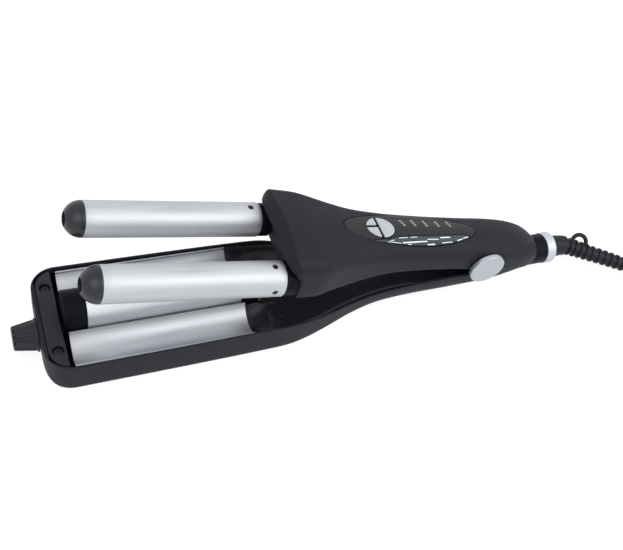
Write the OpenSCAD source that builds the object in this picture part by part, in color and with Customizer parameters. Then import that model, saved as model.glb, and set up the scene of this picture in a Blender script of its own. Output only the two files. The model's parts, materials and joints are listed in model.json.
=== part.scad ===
// Triple-barrel hair waver with an adjustable centre barrel.
// Jaw frame: x = 0 at the front edge of the troughs and grows towards the cord, z = 0 on the trough lips.
// Shell frame: origin on the hinge, -x runs forward along the two upper barrels, z is up when closed.

/* [Barrels] */
// Diameter of the two upper barrels
barrel_d = 19; // [17:0.5:20]
// Distance between the centre lines of the two upper barrels
barrel_pitch = 42.4; // [41:0.1:44]
// Length of each aluminium tube that stands clear of the head
barrel_len = 95.4; // [80:0.1:98]
// Wall of the aluminium tubes
tube_wall = 1.2; // [0.8:0.1:1.6]
// Width of the centre barrel
centre_w = 19.6; // [18:0.1:20]
// Height of the centre barrel's crown above the trough lips when fully raised
centre_top = 17; // [14:0.5:18]

/* [Jaw] */
// Length of the trough plates
trough_len = 95; // [80:1:98]
// Height of a closed barrel's centre line above the trough lips
closed_h = 5; // [4:0.1:6]
// Gap between a closed barrel and its trough
hair_gap = 1.7; // [1:0.1:2.5]
// Sheet thickness of the trough plates
plate_t = 1.6; // [1:0.1:2]
// Angle between the jaws when the spring holds them open
open_angle = 11; // [8:0.5:12]

/* [Housing] */
// Distance from the troughs' front edge to the hinge pin
hinge_x = 244.5; // [240:0.5:250]
// Height of the trough lips above the surface that the waver rests on
base_h = 21; // [20.5:0.5:24]
// Wall of the lower housing
lower_wall = 1.1; // [0.9:0.1:1.2]
// Wall of the upper shell
upper_wall = 1.8; // [1.4:0.1:2]
// Diameter of the hinge pin
pin_d = 5; // [4:0.5:6]
// Diameter of the round cap on the hinge pin
pivot_cap_d = 23; // [20:0.5:25]

/* [Adjuster] */
// How far the centre barrel can be lowered
lift = 4.5; // [3:0.1:4.5]
// Diameter of the knob at its base
knob_d = 17; // [15:0.5:17]
// Length of the knob
knob_len = 12; // [10:0.5:16]
// Number of finger grooves round the knob
knob_flutes = 12; // [8:1:16]

/* [Controls] */
// Length of the leaf-shaped control panel
panel_len = 94; // [86:1:96]
// Width of the control panel
panel_w = 24; // [21:0.5:26]
// Length of the oval button group
button_len = 17.8; // [15:0.5:20]
// Width of the oval button group
button_w = 14.4; // [12:0.5:16]
// Travel of each button
button_travel = 0.6; // [0.3:0.1:0.8]

/* [Cord] */
// Diameter of the power cord
cord_d = 6; // [5:0.5:7]
// Diameter of the silver ring at the end of the handle
ring_d = 19.8; // [18:0.2:20]
// Number of ribs on the strain relief
relief_ribs = 13; // [8:1:14]

/* [Hidden] */
$fn = 48;
gap = 0.15;
fit = 0.05;
hinge_z = closed_h;
barrel_r = barrel_d / 2;
barrel_y = barrel_pitch / 2;
trough_r = barrel_r + hair_gap;
tube_root = 140.6;
tube_tip = tube_root + barrel_len;
pin_r = pin_d / 2;
centre_r = centre_w / 2;
centre_z = centre_top - centre_r;
neck_z = -9.4;
neck_r = 9.4;
ring_r = ring_d / 2;
ring_x = 300.2;
ring_len = 5.8;
shaft_z = -11.5;
shaft_r = 2.2;
knob_r = knob_d / 2;
knob_face = -14.2;
knob_taper = 7;
nose_x = -14.2;
knob_tip = knob_face - 1 - knob_len;
relief_end = 370.54;
shift_x = -(knob_tip + relief_end) / 2;

// Upper shell, at distances s in front of the hinge:
// [s, half width, crown height, skirt depth, corner radius, skirt tuck, wall]
shell_rows = [
    [-47, 10.6, 6.2, 6.4, 8.5, 0.2, 0.8],
    [-42, 12.0, 8.4, 6.3, 8.5, 0.2, 1.1],
    [-35, 13.8, 10.4, 6.0, 8.8, 0.3, 1.5],
    [-25, 15.4, 12.1, 5.2, 9.2, 0.4, 1.8],
    [-10, 16.4, 13.1, 4.2, 9.8, 0.6, 1.8],
    [10, 16.4, 13.7, 3.3, 10, 0.6, 1.8],
    [30, 16.4, 14.4, 2.8, 10, 0.6, 1.8],
    [50, 16.8, 15.2, 2.9, 10, 0.8, 1.8],
    [69, 17.8, 15.9, 4.0, 9.8, 1.2, 1.8],
    [88, 20.2, 16.7, 7.4, 9.4, 1.8, 1.8],
    [101, 23.3, 17.9, 9.2, 9, 2.4, 2],
    [113, 27.0, 19.0, 9.4, 8.4, 3, 2],
    [124, 29.1, 20.0, 9.2, 8, 3, 2.2],
    [142, 29.9, 20.8, 9.1, 7.4, 3, 2.4]
];
head_dip = 4;
head_brow = 3;
head_lean = 11.6;
head_back = 127.6;

// Lower housing, at distances x: [x, half width, rim height, corner radius, depth]
housing_rows = [
    [0, 33.4, 1.5, 6.5, 21],
    [60, 33.0, 1.5, 6.5, 21],
    [105, 32.4, 1.2, 6.8, 21],
    [118, 31.8, 0.6, 7.2, 21],
    [130, 29.4, -0.8, 8, 21],
    [143, 25.7, -2.2, 9.6, 21],
    [158, 21.2, -3.1, 12, 21],
    [175, 17.9, -3.2, 14.6, 21],
    [195, 16.6, -2.8, 15.6, 21],
    [230, 16.2, -2.4, 15.6, 21],
    [256, 15.2, -2.4, 14.8, 20.9],
    [268, 13.2, -5.4, 12.6, 20.2],
    [280, 10.6, -8.9, 9.4, 18.9]
];
nose_round = 14;
nose_edge = 6.5;

// Cord: free stretch from the strain relief to the coil, then the coil's centre and sizes
cord_r = cord_d / 2;
floor_z = -base_h + cord_r;
relief_route = [[306.8, 0, -9.4], [317, -0.6, -9.6], [325, -4.2, -10.4], [333, -8.8, -11.2],
    [342, -13.6, -12.2], [351, -18.2, -13.5], [360, -22.8, -14.9], [369, -27.4, -16.2]];
cord_route = [[366, -25.8, -15.8], [376, -31, -17.1], [386, -36.2, -17.8], [395, -40.9, floor_z],
    [404, -45.5, floor_z]];
coil_at = [422, -11.5];
coil_mid_r = 32;
coil_layers = 3;
tail_route = [[424, -51.2, floor_z], [433, -51.8, floor_z], [442, -50, floor_z], [450, -47, floor_z],
    [458, -43, floor_z], [466, -38.6, floor_z + 1.2], [475, -33.4, floor_z + 3]];
plug_at = [481, -30, -base_h + 6];
plug_turn = 30;

black = "#34363b";
cap_black = "#2b2c30";
aluminium = "#c9ccd1";
silver = "#cfd3d8";

// ---- helpers ----

// Smooth curve through the k-th value of the rows
function row_at(t, x, i = 0) = i >= len(t) - 2 || x < t[i + 1][0] ? i : row_at(t, x, i + 1);
function row_slope(t, i, k) =
    let (a = max(i - 1, 0), b = min(i + 1, len(t) - 1)) (t[b][k] - t[a][k]) / (t[b][0] - t[a][0]);
function curve(t, x, k) =
    let (
        i = row_at(t, x),
        h = t[i + 1][0] - t[i][0],
        u = min(1, max(0, (x - t[i][0]) / h)),
        m0 = row_slope(t, i, k) * h,
        m1 = row_slope(t, i + 1, k) * h
    )
    (2 * u ^ 3 - 3 * u ^ 2 + 1) * t[i][k] + (u ^ 3 - 2 * u ^ 2 + u) * m0
        + (3 * u ^ 2 - 2 * u ^ 3) * t[i + 1][k] + (u ^ 3 - u ^ 2) * m1;

// Both sides of a symmetric outline from its +y half
function both_sides(half) =
    concat(half, [for (i = [len(half) - 2:-1:0]) [-half[i][0], half[i][1]]]);

function reversed(v) = [for (i = [len(v) - 1:-1:0]) v[i]];
// Same number of points along a shallow arch from the half outline's first point to the middle
function flattened(half, rise) =
    let (last = len(half) - 1)
    [for (i = [0:last]) let (u = 1 - i / last) [half[0][0] * u, half[0][1] + rise * (1 - u ^ 2)]];

// Solid through rings of points; each ring is an outer line and back along an inner line
module loft(rings) {
    n = len(rings[0]);
    last = len(rings) - 1;
    sides = [for (r = [0:last - 1], i = [0:n - 1]) let (j = (i + 1) % n)
        each [[r * n + i, (r + 1) * n + j, r * n + j], [r * n + i, (r + 1) * n + i, (r + 1) * n + j]]];
    caps = [for (i = [0:n / 2 - 2]) each [
        [i, i + 1, n - 2 - i], [i, n - 2 - i, n - 1 - i],
        [last * n + i, last * n + n - 2 - i, last * n + i + 1],
        [last * n + i, last * n + n - 1 - i, last * n + n - 2 - i]]];
    polyhedron([for (r = rings) each r], concat(sides, caps));
}

// Round tube that follows a route, with its own radius at each ring
function unit(v) = v / norm(v);
function route_dir(p, i) = unit(p[min(i + 1, len(p) - 1)] - p[max(i - 1, 0)]);
function route_ring(c, d, r, sides) =
    let (u = unit(cross(d, [0, 0, 1])), v = cross(u, d))
    [for (k = [0:sides - 1]) c + r * (cos(360 * k / sides) * u + sin(360 * k / sides) * v)];
module sweep(p, radii, sides) {
    last = len(p) - 1;
    pts = [for (i = [0:last]) each route_ring(p[i], route_dir(p, i), radii[i], sides)];
    side_faces = [for (r = [0:last - 1], k = [0:sides - 1]) let (m = (k + 1) % sides)
        each [[r * sides + k, r * sides + m, (r + 1) * sides + m],
            [r * sides + k, (r + 1) * sides + m, (r + 1) * sides + k]]];
    start = [for (k = [1:sides - 2]) [0, k + 1, k]];
    end = [for (k = [1:sides - 2]) [last * sides, last * sides + k, last * sides + k + 1]];
    polyhedron(pts, concat(side_faces, start, end));
}
// Points every step millimetres or so along a smooth curve through hand-placed points
function smooth_point(p, i, u) =
    let (
        a = p[max(i - 1, 0)], b = p[i], c = p[i + 1], d = p[min(i + 2, len(p) - 1)],
        m0 = (c - a) / 2, m1 = (d - b) / 2
    )
    (2 * u ^ 3 - 3 * u ^ 2 + 1) * b + (u ^ 3 - 2 * u ^ 2 + u) * m0 + (3 * u ^ 2 - 2 * u ^ 3) * c
        + (u ^ 3 - u ^ 2) * m1;
function smooth_route(p, per) =
    concat([for (i = [0:len(p) - 2], k = [0:per - 1]) smooth_point(p, i, k / per)], [p[len(p) - 1]]);

module jaw() translate([shift_x, 0, base_h]) children();
module shell() jaw() translate([hinge_x, 0, hinge_z]) rotate([0, open_angle, 0]) children();
module along_x(x = 0, y = 0, z = 0) translate([x, y, z]) rotate([0, 90, 0]) children();
module along_y(x = 0, y = 0, z = 0) translate([x, y, z]) rotate([-90, 0, 0]) children();
// A flat outline drawn in y and z, given depth along x
module slice_x(x, len) translate([x, 0, 0]) rotate([90, 0, 90]) linear_extrude(len) children();
// A flat outline drawn in x and z, given depth along y
module slice_y(y, len) translate([0, y + len, 0]) rotate([90, 0, 0]) linear_extrude(len) children();
module left_and_right() for (side = [-1, 1]) scale([1, side, 1]) children();

// ---- upper shell ----

corner_steps = 6;
tuck_steps = 3;
function skirt_depth(s) =
    max(curve(shell_rows, s, 3), abs(s) < ear_r ? sqrt(ear_r ^ 2 - s ^ 2) : 0);
ear_r = 9;
// Softens the front edge of the head
function head_round(s) = let (d = max(0, s - 140.2)) 0.25 * d ^ 2;
function shell_half(s, in) =
    let (
        a = curve(shell_rows, s, 1) - in - head_round(s) * 0.7,
        b = curve(shell_rows, s, 2) - in - head_round(s),
        c = skirt_depth(s),
        r = max(1, curve(shell_rows, s, 4) - in),
        t = curve(shell_rows, s, 5),
        crown = 0.05 * a
    )
    concat(
        [for (k = [0:tuck_steps]) let (f = 90 * k / tuck_steps)
            [a - t + t * sin(f), -c + 2.4 * t * (1 - cos(f))]],
        [for (k = [0:corner_steps]) let (f = 90 * k / corner_steps)
            [a - r + r * cos(f), b - crown - r + r * sin(f)]],
        [for (k = [2:-1:0]) let (y = (a - r) * k / 3) [y, b - crown * (y / (a - r)) ^ 2]]
    );
// The front of the head dips between the barrels and leans back towards its crown and its lower edge
function head_set(s, y, z) =
    let (
        a = curve(shell_rows, s, 1), b = curve(shell_rows, s, 2), c = skirt_depth(s),
        w = min(1, max(0, (s - 110) / 29)), f = (b - z) / (b + c),
        brow = head_brow * max(0, 1 - f / 0.3)
    )
    w * (head_dip * (1 - (y / a) ^ 2) * (1 - f) + brow + head_lean * f ^ 2);
function shell_line(s, half) =
    [for (p = both_sides(half)) [-s + head_set(s, p[0], p[1]), p[0], p[1]]];
function shell_ring(s, hollow) =
    let (in = shell_half(s, curve(shell_rows, s, 6)))
    concat(shell_line(s, shell_half(s, 0)), reversed(shell_line(s, hollow ? in : flattened(in, 0.5))));
shell_stations = [-47, -42, -35, -25, -16, -9.2, -8.8, -7.6, -5, -1.8, 1.8, 5, 7.6, 8.8, 9.2, 18, 30, 42, 54,
    65, 75, 84, 93, 101, 108, 115, 121, head_back - 0.3];
head_stations = [head_back, 131, 134, 136.8, 139, 140.4, 141.3, 142];
module shell_body() loft(reversed(concat(
    [for (s = shell_stations) shell_ring(s, true)], [for (s = head_stations) shell_ring(s, false)])));

// Leaf outline, blunter at its front end
leaf_mid = 53.2;
module leaf(inset) polygon([for (k = [0:71]) let (f = 5 * k)
    [-leaf_mid + (panel_len / 2 - inset) * cos(f),
        (panel_w / 2 - inset) * sign(sin(f)) * abs(sin(f)) ^ (1.05 + 0.15 * cos(f))]]);
module leaf_prism(inset, z0, z1) translate([0, 0, z0]) linear_extrude(z1 - z0) leaf(inset);

// The shell's outer crown as a solid, down to a flat foot
crown_stations = [4, 14, 24, 34, 44, 54, 64, 74, 84, 94, 103];
module crown(foot, drop) loft(reversed([for (s = crown_stations)
    let (all = shell_half(s, drop), line = both_sides([for (i = [tuck_steps + 3:len(all) - 1]) all[i]]))
    concat([for (p = line) [-s, p[0], max(p[1], foot + 0.2)]],
        [for (p = reversed(line)) [-s, p[0], foot]])]));

button_at = 75.8;
button_cut = 76.9;
button_slot = 1.3;
module button_oval(grow) polygon([for (k = [0:35])
    [-button_at + (button_len / 2 + grow) * cos(10 * k), (button_w / 2 + grow) * sin(10 * k)]]);
// Window: crescent along the near edge of the leaf that runs on round the buttons
module window_shape(inset) difference() {
    intersection() {
        leaf(1 + inset);
        polygon([[-83 + inset, -30], [-83 + inset, -8.6 - inset], [-66, -5.6 - inset],
            [-12.5 - inset, -3.4 - inset], [-12.5 - inset, -30]]);
    }
    button_oval(1.2 + inset);
}
// The two upper barrels' centre lines
module at_barrels() for (side = [-1, 1]) translate([0, side * barrel_y, 0]) children();

module upper_shell() color(black) shell() difference() {
    shell_body();
    leaf_prism(0, 6, 30);
    at_barrels() {
        along_x(-146) cylinder(r = barrel_r + 0.5, h = 12.5);
        along_x(-134) cylinder(r = 7, h = 10.5);
    }
    along_y(y = -20) cylinder(r = pin_r + fit, h = 40);
}

// Cover under the upper handle, from just ahead of the hinge to the head
function cover_ring(s) =
    let (w = curve(shell_rows, s, 1) - curve(shell_rows, s, 5) - 2.6, z = -curve(shell_rows, s, 3) + 1)
    [[-s, w, z], [-s, 0, z], [-s, -w, z], [-s, -w, z + 1.8], [-s, 0, z + 1.8], [-s, w, z + 1.8]];
module upper_inner_cover() color(cap_black) shell()
    loft([for (s = [119, 111, 101, 94, 88, 80, 69, 58, 46, 32, 18]) cover_ring(s)]);

// ---- upper barrels ----

module tube(outer) color(aluminium) shell() translate([-tube_tip, 0, 0]) difference() {
    along_x() cylinder(r = barrel_r, h = barrel_len);
    along_x(-1) cylinder(r = barrel_r - tube_wall, h = barrel_len + 2);
    for (turn = [0, outer]) rotate([turn, 0, 0])
        translate([barrel_len - 5.8, 0, 6]) cylinder(r = 1.55, h = 6);
}
module barrel_left() translate([0, barrel_y, 0]) tube(-90);
module barrel_right() translate([0, -barrel_y, 0]) tube(90);

// Domed end with a spigot inside the tube and a recess for its screw
module dome() color(cap_black) shell() translate([-tube_tip, 0, 0]) difference() {
    union() {
        rotate([0, -90, 0]) rotate_extrude() intersection() {
            circle(barrel_r);
            square(barrel_r);
        }
        along_x(-0.5) cylinder(r = barrel_r - tube_wall - gap, h = 8.5);
    }
    along_x(-barrel_r - 1) cylinder(r = 3.5, h = 5.7);
    along_x(-barrel_r) cylinder(r = 1.6, h = 30);
}
module barrel_cap_left() translate([0, barrel_y, 0]) dome();
module barrel_cap_right() translate([0, -barrel_y, 0]) dome();

module cross_head(r, h) difference() {
    cylinder(r = r, h = h);
    for (turn = [0, 90]) rotate(turn) translate([-r * 0.6, -r * 0.13, -1]) cube([r * 1.2, r * 0.26, 1.6]);
}
module cap_screws() color(silver) shell() at_barrels() along_x(-tube_tip - barrel_r + 3.1) {
    cross_head(2.9, 1.5);
    translate([0, 0, 1.4]) cylinder(r = 1.4, h = 12);
}

// Black collar behind each tube, with a spigot that the tube slides onto
module barrel_collars() color(cap_black) shell() difference() {
    at_barrels() {
        along_x(-tube_root + 0.1) cylinder(r = barrel_r - 0.4, h = tube_root - 133.9);
        along_x(-tube_root - 11) cylinder(r = barrel_r - tube_wall - gap, h = 11.5);
        along_x(-134) cylinder(r = 7 - fit, h = 9.8);
    }
    at_barrels() along_x(-160) cylinder(r = 3.4, h = 40);
    at_root_screws() translate([0, 0, 2]) cylinder(r = 1.1, h = 8);
}
// Root screws on the top and the outer side of each barrel
module at_root_screws() for (side = [-1, 1], turn = [0, -90 * side])
    translate([-tube_root - 5.8, side * barrel_y, 0]) rotate([turn, 0, 0]) children();
module root_screws() color(cap_black) shell() at_root_screws() {
    translate([0, 0, barrel_r + 0.35]) rotate([180, 0, 0]) cross_head(1.45, 1.2);
    translate([0, 0, 4.4]) cylinder(r = 1, h = 4.8);
}
// Heater bar between two half-round pads that press on the tube's inside
module barrel_cores() color("#9a8f86") shell() at_barrels() translate([-tube_tip + 9.5, 0, 0]) {
    translate([0, -5.5, -1.5]) cube([72, 11, 3]);
    for (side = [-1, 1]) scale([1, 1, side]) difference() {
        along_x() cylinder(r = barrel_r - tube_wall - gap, h = 72);
        translate([-1, -10, -10]) cube([80, 20, 11.6]);
    }
}

// ---- controls ----

panel_floor = 10;
module control_panel() color("#404248") shell() difference() {
    intersection() {
        crown(panel_floor, 0);
        leaf_prism(gap, 0, 30);
    }
    translate([0, 0, 5]) linear_extrude(25) button_oval(0.2);
    translate([0, 0, 5]) linear_extrude(25) window_shape(0);
}
module display_window() color("#5f7f86", 0.6) shell() intersection() {
    difference() {
        crown(panel_floor + 0.4, 0.15);
        translate([-100, -20, 0]) cube([100, 40, panel_floor + 0.6]);
    }
    linear_extrude(30) window_shape(0.1);
}
module display_bars() color("white") shell() for (i = [0:4])
    translate([-29 - 9 * i, -7.8 - 0.3 * i, 8.9]) cube([6.5, 1.6, 0.8]);
module circuit_board() color("#2f5a41") shell() translate([-96, -11, 5.2]) cube([82, 22, 1.6]);
switch_spots = [[-71.5, 0], [-79.8, 3.9], [-79.8, -3.2]];
module tact_switches() color("#26272b") shell() for (p = switch_spots) translate([p[0], p[1], 6.85]) {
    translate([-2, -2, 0]) cube([4, 4, 2]);
    translate([0, 0, 2]) cylinder(r = 1, h = 0.5);
}
button_top = 16.6;
module button(spot) color(silver) shell() {
    intersection() {
        translate([0, 0, 11.4]) linear_extrude(button_top - 11.4) difference() {
            button_oval(0);
            translate([-button_cut - button_slot / 2, -20]) square([button_slot, 40]);
            translate([-100, 0.9 - button_slot / 2]) square([100 - button_cut, button_slot]);
        }
        children();
    }
    translate([spot[0], spot[1], 9.4 + button_travel]) cylinder(r = 1.3, h = 2);
}
module power_button() button(switch_spots[0]) translate([-button_cut, -20, 0]) cube([20, 40, 30]);
module heat_up_button() button(switch_spots[1]) translate([-button_cut - 20, 0.9, 0]) cube([20, 20, 30]);
module heat_down_button() button(switch_spots[2]) translate([-button_cut - 20, -19.1, 0]) cube([20, 20, 30]);

// ---- lower housing ----

bend_steps = 7;
// Plan outline rounds in towards the nose; the bottom edge rounds up there too
function nose_in(x) = let (d = max(0, nose_round - (x - nose_x))) nose_round - sqrt(nose_round ^ 2 - d ^ 2);
function nose_up(x) = let (d = max(0, nose_edge - (x - nose_x))) nose_edge - sqrt(nose_edge ^ 2 - d ^ 2);
function housing_half(x, in) =
    let (
        a = curve(housing_rows, x, 1) - nose_in(x) - in,
        rim = curve(housing_rows, x, 2),
        r = max(1, curve(housing_rows, x, 3) - in),
        low = -curve(housing_rows, x, 4) + nose_up(x) + in
    )
    concat(
        [[a, rim], [a, (rim + low + r) / 2]],
        [for (k = [0:bend_steps]) let (f = 90 * k / bend_steps) [a - r + r * cos(f), low + r - r * sin(f)]],
        [[(a - r) / 2, low], [0, low]]
    );
function housing_line(x, half) = [for (p = both_sides(half)) [x, p[0], p[1]]];
function housing_ring(x, hollow) =
    let (in = housing_half(x, x > 200 ? 1.8 : lower_wall))
    concat(housing_line(x, housing_half(x, 0)), reversed(housing_line(x, hollow ? in : flattened(in, -0.4))));
nose_stations = [nose_x, nose_x + 0.7, nose_x + 2];
tray_stations = [-12, -10, -7, -3, 2, 30, 60, 90, 105, 112, 118, 124, 130, 136, 143, 150, 158, 166, 175, 185,
    200, 216, 232, 240, 248, 256, 262, 268, 274, 280];
module housing_body() loft(reversed(concat([for (x = nose_stations) housing_ring(x, false)],
    [for (x = tray_stations) housing_ring(x, true)])));

guide_x = 49;
guide_y = 5.5;
module hinge_lug() left_and_right() slice_y(9.6, 3.6) {
    translate([hinge_x, hinge_z]) circle(5.5);
    translate([hinge_x - 5.5, -13.5]) square([11, 13.5 + hinge_z]);
}
module guide_posts() for (side = [-1, 1]) translate([guide_x, side * guide_y, -base_h + 1])
    cylinder(r = 2, h = base_h - 1);
deck_screws = [[113, -22], [113, 22], [205, 0]];
module deck_posts() for (p = deck_screws) translate([p[0], p[1], -base_h + 1])
    cylinder(r = 3, h = base_h - 8.2);
cover_screw_spots = [[-7, 20.4], [-7, -20.4]];
module cover_posts() for (p = cover_screw_spots) translate([p[0], p[1], -base_h + 1])
    cylinder(r = 2.1, h = base_h - 4.2);

module lower_housing() color(black) jaw() difference() {
    union() {
        housing_body();
        hinge_lug();
        guide_posts();
        deck_posts();
        cover_posts();
    }
    along_x(nose_x - 1, 0, shaft_z) cylinder(r = shaft_r + fit, h = 4);
    along_y(hinge_x, -20, hinge_z) cylinder(r = pin_r, h = 40);
    left_and_right() along_y(hinge_x, 13.5, hinge_z) cylinder(r = ear_r + 0.4, h = 4);
}

// Plate over the nose, its front corners concentric with the tray's
module front_cover() color(cap_black) jaw() difference() {
    union() {
        translate([0, 0, -1.6]) linear_extrude(2.8) intersection() {
            translate([-12, -31.6]) square([9, 63.2]);
            cover_outline();
        }
        translate([-4.6, -29, -9]) cube([1.6, 58, 8]);
    }
    for (p = cover_screw_spots) translate([p[0], p[1], -3]) {
        cylinder(r = 1.7, h = 8);
        translate([0, 0, 2.2]) cylinder(r = 2.7, h = 4);
    }
    translate([-5, -6, -12]) cube([4, 12, 8]);
}
cover_r = 10.7;
module cover_outline() polygon(concat(
    [for (k = [0:8]) let (f = 180 + 90 * k / 8) [-1.2 + cover_r * cos(f), -20.6 + cover_r * sin(f)]],
    [for (k = [0:8]) let (f = 90 + 90 * k / 8) [-1.2 + cover_r * cos(f), 20.6 + cover_r * sin(f)]]));
module cover_screws() color("#1c1d20") jaw() for (p = cover_screw_spots) translate([p[0], p[1], 0.6]) {
    rotate([180, 0, 0]) cross_head(2.5, 1.3);
    translate([0, 0, -3]) cylinder(r = 1.5, h = 2);
}

// Trough: an arc about the closed barrel's centre line, with a flat lip along its outer edge
trough_edge = 31.3;
module trough_shape() {
    intersection() {
        difference() {
            translate([barrel_y, closed_h]) circle(trough_r + plate_t);
            translate([barrel_y, closed_h]) circle(trough_r);
        }
        translate([barrel_y - 10.5, -20]) square([trough_edge - barrel_y + 10.5, 20]);
    }
    translate([trough_edge - 0.9, -2.2]) square([0.9, 2.2]);
}
module channel_plate() color(aluminium) jaw() slice_x(0, trough_len) trough_shape();
module channel_plate_left() channel_plate();
module channel_plate_right() mirror([0, 1, 0]) channel_plate();

module plate_heater() color("#9a8f86") jaw() difference() {
    translate([12, barrel_y - 6, -13]) cube([70, 12, 7]);
    along_x(10, barrel_y, closed_h) cylinder(r = trough_r + plate_t + 0.05, h = 80);
}
module plate_heater_left() plate_heater();
module plate_heater_right() mirror([0, 1, 0]) plate_heater();

// Saddles on the tray floor that hold the troughs near their ends
module plate_carriers() color("#56524c") jaw() left_and_right() for (x = [4, 86]) difference() {
    translate([x, 13, -base_h + lower_wall + 0.1]) cube([5, 14, base_h - lower_wall - 4]);
    along_x(x - 1, barrel_y, closed_h) cylinder(r = trough_r + plate_t + 0.05, h = 8);
}
module shaft_bearing() color("#56524c") jaw() difference() {
    translate([105, -6, -base_h + lower_wall + 0.1]) cube([4, 12, 14]);
    along_x(104, 0, shaft_z) cylinder(r = shaft_r + fit, h = 6);
}

// Deck that closes the tray behind the troughs and the top of the lower handle
deck_top = -5.2;
deck_t = 1.8;
deck_edge = [[0, 2.2], [0.6, 1.2], [1.8, 0.45], [4, 0]];
function deck_w(x) = min(curve(housing_rows, x, 1) - 2.6, 29.4);
function deck_ring(x) =
    let (
        z = deck_top - max(0, (x - 200) / 40),
        line = both_sides(concat([for (p = deck_edge) [deck_w(x) - p[0], z + p[1]]], [[0, z]]))
    )
    concat([for (p = line) [x, p[0], p[1] - deck_t]], [for (p = reversed(line)) [x, p[0], p[1]]]);
// Coves that carry the troughs' hollows on to the deck
cove_y = [11, 12.6, 15, 18, barrel_y, 24.4, 27, 29];
function cove_top(x, y) =
    let (u = min(1, max(0, (x - 97) / 14)), hollow = closed_h - sqrt(trough_r ^ 2 - (y - barrel_y) ^ 2))
    hollow + (deck_top - hollow) * u ^ 2 * (3 - 2 * u);
function cove_ring(x) = concat([for (y = cove_y) [x, y, cove_top(x, y) - deck_t]],
    [for (y = reversed(cove_y)) [x, y, cove_top(x, y)]]);
deck_stations = [110, 118, 124, 130, 136, 143, 150, 158, 166, 175, 185, 200, 216, 233];
module inner_cover() color(cap_black) jaw() difference() {
    union() {
        loft(reversed([for (x = deck_stations) deck_ring(x)]));
        left_and_right() loft([for (x = [trough_len + 0.4, 98, 101, 104, 107, 110.3]) cove_ring(x)]);
    }
    for (p = deck_screws) translate([p[0], p[1], -12]) {
        cylinder(r = 1.6, h = 12);
        translate([0, 0, 12 + deck_top - 0.95]) cylinder(r = 2.8, h = 3);
    }
}
module inner_cover_screws() color("#1c1d20") jaw() for (p = deck_screws) translate([p[0], p[1], deck_top]) {
    translate([0, 0, 0.5]) rotate([180, 0, 0]) cross_head(2.6, 1.4);
    translate([0, 0, -1.75]) cylinder(r = 1.4, h = 0.95);
}

// ---- hinge ----

module hinge_pin() color(silver) jaw() along_y(hinge_x, -17.8, hinge_z) cylinder(r = pin_r, h = 34.8);
// Domed silver cap pressed on the pin's right end
module pivot_cap() color(silver) jaw() translate([hinge_x, 0, hinge_z]) rotate([90, 0, 0]) difference() {
    rotate_extrude() polygon(concat([[0, 16.8], [6, 16.8], [6, 17.4], [pivot_cap_d / 2, 17.4]],
        [for (k = [0:6]) let (f = 90 * k / 6)
            [pivot_cap_d / 2 - 1 + cos(f), 18 + 0.7 * sin(f)]], [[0, 18.9]]));
    translate([0, 0, 16]) cylinder(r = pin_r, h = 1.8);
}
// Small head on the pin's left end, hidden behind the shell in most views
module pin_head() color(silver) jaw() translate([hinge_x, 0, hinge_z]) rotate([-90, 0, 0]) rotate_extrude()
    polygon([[0, 17], [3.4, 17], [3.4, 17.8], [2.6, 18.4], [0, 18.4]]);
// Coils round the pin, with one leg down to the deck and one up under the shell
module hinge_spring() color("#8b8f94") jaw() translate([hinge_x, 0, hinge_z]) {
    for (i = [0:5]) along_y(y = -5.3 + 1.8 * i) rotate_extrude()
        translate([pin_r + 1.4, 0]) circle(0.8, $fn = 24);
    translate([0, 5.4, -pin_r - 1.4]) rotate([0, -90, 0]) cylinder(r = 0.8, h = 11);
    translate([0, -5.4, pin_r + 1.4]) rotate([0, -90, 0]) cylinder(r = 0.8, h = 14);
}

// ---- neck ----

module neck_socket() color("#26272b") jaw() difference() {
    union() {
        along_x(268, 0, neck_z) cylinder(r = 7.4, h = 13);
        along_x(280, 0, neck_z) cylinder(r = neck_r, h = ring_x - 280);
    }
    along_x(271, 0, neck_z) cylinder(r = 6.4, h = 23);
    along_x(280, 0, neck_z) cylinder(r = 5.6, h = 24);
    along_x(260, 0, neck_z) cylinder(r = 2.6, h = 15);
    translate([290, -4.2, neck_z + 7.4]) cube([1.1, 4.4, 3]);
}
module neck_ring() color("#eef0f2") jaw() along_x(ring_x, 0, neck_z) rotate_extrude() polygon([
    [6.8, 0], [ring_r - 0.6, 0], [ring_r, 0.8], [ring_r, ring_len - 1.2], [ring_r - 1.2, ring_len],
    [6.8, ring_len]]);
module swivel_flange() color("#26272b") jaw() {
    along_x(286, 0, neck_z) cylinder(r = 5.5, h = 20.4);
    along_x(286, 0, neck_z) cylinder(r = 6.3, h = 4);
}

// Sleeve, hanging loop and ribbed bend relief in one moulding
relief_core = smooth_route(relief_route, 4);
relief_len = len(relief_core) - 1;
function relief_r(i) = i < 5 ? 6.8 : 4.9 - 1.6 * (i - 5) / (relief_len - 5);
module strain_relief() color("#2b2c30") jaw() {
    sweep(relief_core, [for (i = [0:relief_len]) relief_r(i)], 20);
    for (i = [0:relief_ribs - 1]) {
        j = 6 + i * (relief_len - 7) / (relief_ribs - 1);
        a = relief_core[floor(j)];
        b = relief_core[ceil(j)];
        d = route_dir(relief_core, round(j));
        translate(a + (b - a) * (j - floor(j))) rotate([0, acos(d[2]), atan2(d[1], d[0])])
            cylinder(r = relief_r(j) + 0.9, h = 1.9, center = true);
    }
    translate([327.6, -2.6, -6.4]) rotate([-45, 0, -22]) rotate([90, 0, 0])
        rotate_extrude() translate([4.7, 0]) circle(1.5, $fn = 32);
}

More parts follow.
